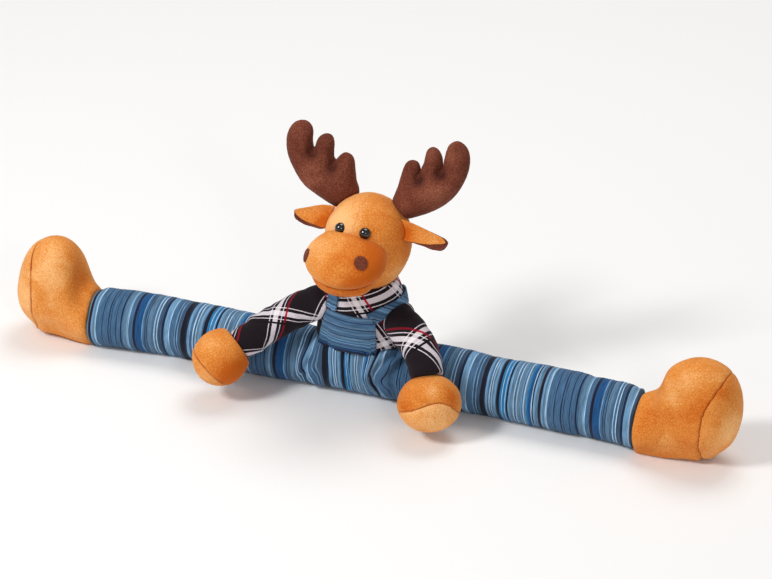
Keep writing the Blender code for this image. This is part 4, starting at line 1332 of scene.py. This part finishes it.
def draw_shut(first, second):
    """Draw the near points of two pieces halfway to each other."""
    skins_now = [skin_of(forms[first]), skin_of(forms[second])]
    for node, other in ((first, skins_now[1]), (second, skins_now[0])):
        points = points_of(forms[node])
        moved = points.copy()
        for index, point in enumerate(points):
            place, _, _, distance = other.find_nearest(Vector(point), DRAW_WITHIN)
            if place is not None and distance > 2 * STITCHED_GAP:
                share = (0.5 - STITCHED_GAP / distance) * (1 - distance / DRAW_WITHIN)
                moved[index] += (np.array(place) - point) * share
        move_points(forms[node], moved)


for first, second in SEAM_PAIRS:
    draw_shut(first, second)
print("seams drawn shut:", len(SEAM_PAIRS))

# %% [markdown]
# Two attributes finish each plush or patterned piece. The seam value is near 1 where the piece touches
# another, and the materials darken the colour there as painted shade. The other value is painted light
# and shade: a base for each panel, a slope across it, and spots that are paler where light falls and
# deeper in hollows, pockets and creases.

# %% Seam shade and painted light
SEAM_REACH = 2.6 * MM
# How dark the painted shade in a pressed groove is, as a share of that at a seam.
GROOVE_SHADE = 0.55
SLOPE_MM = 50.0
SEWN_TO = {
    "trouser_tube": ("foot_left", "foot_right", "bib", "shirt_body"), "bib": ("trouser_tube",),
    "shirt_body": ("head", "chin", "trouser_tube", "sleeve_left", "sleeve_right"),
    "head": ("muzzle", "chin", "antler_left", "antler_right", "ear_left", "ear_right", "shirt_body"),
    "muzzle": ("head", "chin", "nostril_left", "nostril_right"), "chin": ("muzzle", "head"),
    "palm_left": ("hand_left", "sleeve_left"), "palm_right": ("hand_right",),
}
for word in ("left", "right"):
    SEWN_TO |= {f"{part}_{word}": ("head",) for part in ("ear", "ear_back", "antler")}
    SEWN_TO |= {
        f"foot_{word}": (f"sole_{word}", "trouser_tube"), f"sole_{word}": (f"foot_{word}",),
        f"hand_{word}": (f"palm_{word}", f"sleeve_{word}"), f"sleeve_{word}": (f"hand_{word}", "shirt_body"),
        f"nostril_{word}": ("muzzle",), f"strap_{word}": ("bib",),
    }
PANEL_LIGHT_AND_SHADE = {
    # node: base of the painted light and shade, slope to the right, to the back and up, per 50 mm
    "head": (0, -0.10, 0, 0.03), "muzzle": (-0.27, -0.14, 0, 0.03), "chin": (-0.28, 0, 0, 0),
    "hand_left": (-0.12, -0.20, 0, 0.1), "palm_left": (0.02, -0.06, 0, 0),
    "hand_right": (-0.05, 0.05, 0, -0.03), "palm_right": (0.14, 0, 0, 0),
    "foot_left": (0.02, -0.06, 0, 0), "sole_left": (0.14, 0, 0, 0),
    "foot_right": (-0.08, 0.02, 0, 0.03), "sole_right": (-0.02, 0.08, 0, -0.08),
    "ear_left": (0, 0, 0, 0.08), "ear_right": (-0.05, 0, 0, 0.05),
}
LIGHT_AND_SHADE_SPOTS = {
    # node: places where light is painted, or shade where the amount is below 0, with their radius and how
    # much paler they look
    "head": (
        (-22, -28, 222, 26, 0.34), (-14, -17, 235, 16, 0.14), (30, -9, 233, 28, -0.10),
        (45, -8, 166, 17, 0.24), (50, 0, 200, 16, -0.22), (-45, 0, 205, 12, 0.2),
    ),
    "muzzle": (
        (-16, -76, 198, 20, 0.16), (2, -85, 189, 14, 0.16), (42, -50, 192, 22, -0.34),
        (-14, -52, 214, 18, 0.24), (10, -58, 212, 14, 0.12), (-38, -50, 195, 18, 0.44),
        (30, -75, 183, 14, -0.06), (-24, -66, 180, 15, 0.32),
    ),
    "ear_left": ((-46, 0, 203, 11, -0.8), (-44, 0, 196, 9, -0.5)),
    "ear_right": ((50, 0, 208, 10, -0.6), (52, 0, 196, 8, -0.5), (80, -2, 212, 12, 0.14)),
    "foot_left": (
        (-337, -2, 84, 15, -0.26), (-336, -16, 72, 13, -0.12), (-366, -28, 98, 26, 0.16),
        (-352, -30, 30, 22, 0.10), (-350, -10, 110, 15, -0.12),
    ),
    "sole_left": ((-392, -26, 60, 40, 0.10),),
    "foot_right": (
        (408, -36, 86, 15, -0.34), (384, -25, 108, 13, 0.20), (372, -32, 84, 12, 0.16),
        (352, -34, 60, 16, -0.08), (386, -38, 66, 18, -0.16), (360, -34, 28, 14, 0.10),
        (340, -28, 40, 10, -0.12),
    ),
    "sole_right": ((430, -27, 52, 20, 0.34), (416, -24, 100, 16, -0.16), (418, -32, 74, 12, -0.1)),
    "hand_left": ((-122, -80, 42, 17, -0.62), (-145, -86, 70, 16, 0.14)),
    "palm_left": ((-150, -90, 40, 20, 0.08),),
    "hand_right": (
        (132, -70, 58, 14, -0.34), (112, -82, 70, 9, 0.22), (86, -94, 50, 11, -0.26),
        (100, -90, 58, 9, -0.1),
    ),
    "palm_right": ((114, -95, 40, 24, 0.16),),
    "antler_left": (
        (-67, 24, 273, 7, -0.35), (-43, 22, 262, 7, -0.35), (-62, 22, 256, 16, 0.12),
        (-84, 24, 285, 10, 0.08),
    ),
    "antler_right": (
        (59, 20, 266, 7, -0.42), (83, 22, 276, 7, -0.42), (72, 16, 254, 14, 0.16),
        (98, 22, 276, 11, 0.14), (46, 12, 244, 10, 0.10), (92, 24, 300, 9, 0.12),
    ),
}
skins = {node: skin_of(piece) for node, piece in forms.items()}


def seam_values(node):
    held = held_by(forms[node], [skins[other] for other in SEWN_TO[node]], SEAM_REACH)
    return np.maximum(held**2, extra_seams.get(node, 0.0) * GROOVE_SHADE)


for node, piece in forms.items():
    # The seam value, where the materials paint shade.
    set_attribute(piece, "seam", "FLOAT", seam_values(node))
    base, *slope = PANEL_LIGHT_AND_SHADE.get(node, (0.0, 0.0, 0.0, 0.0))
    points = points_of(piece)
    off = (points - points.mean(axis=0)) / (SLOPE_MM * MM)
    # Painted light and shade: the panel's base and slope, with the spots of light and shade added.
    painted_tone = base + off @ np.array(slope)
    for *place, radius, amount in LIGHT_AND_SHADE_SPOTS.get(node, ()):
        painted_tone += amount * fading(points, place, radius)
    set_attribute(piece, "painted_light_and_shade", "FLOAT", painted_tone)
print("seams measured on", len(forms), "pieces")

# %% [markdown]
# A bead eye is a full ball, set a little into the head. It is modelled as a ball again, with finer
# faces than its solid. The muzzle's upper edge half hides the left one.

# %% Eyes
EYE_RADIUS = 6.5 * MM
EYE_OUT = 47.5
EYE_WAYS = {"left": (-23.0, 31.8), "right": (20.0, 33.0)}

for word, angles in EYE_WAYS.items():
    way = HEAD_TURN @ way_out(*angles)
    bm = bmesh.new()
    bmesh.ops.create_uvsphere(bm, u_segments=40, v_segments=24, radius=EYE_RADIUS)
    bmesh.ops.translate(bm, vec=ORIGIN + HEAD_MIDDLE + way * EYE_OUT * MM, verts=bm.verts)
    eye = make_piece(f"eye_{word}_bead", bm)
    eye.data.shade_smooth()
    forms[f"eye_{word}"] = eye
print("eyes:", EYE_RADIUS / MM * 2, "mm across")

# %% [markdown]
# Every piece gets its fabric and rides on the only body, and the solid that it replaces is hidden.

# %% Dress the toy
FINISHES = {
    "trouser_tube": leg_cotton, "bib": bib_cotton, "strap_left": strap_cotton, "strap_right": strap_cotton,
    "shirt_body": flannel, "sleeve_left": flannel, "sleeve_right": flannel,
    "eye_left": bead_plastic, "eye_right": bead_plastic,
}
BROWN = ("antler_left", "antler_right", "nostril_left", "nostril_right", "ear_back_left", "ear_back_right")


for node, piece in forms.items():
    finish = FINISHES.get(node) or (brown_plush if node in BROWN else orange_plush)
    piece.data.materials.clear()
    piece.data.materials.append(finish)
    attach(piece, "root")
    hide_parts(node)
print("pieces:", len(forms), "faces:", sum(len(piece.data.polygons) for piece in forms.values()))

# %% [markdown]
# How far the dressed toy's box reaches beyond the solids' box, at its low and high corners, is printed.
# The visual model has to stay as large as the solids.

# %% Sizes
seen_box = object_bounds()
for word, cad, seen in zip(("low", "high"), cad_box, seen_box):
    print(word, [round((b - a) / MM, 1) for a, b in zip(cad, seen)], "mm beyond the solids' box")
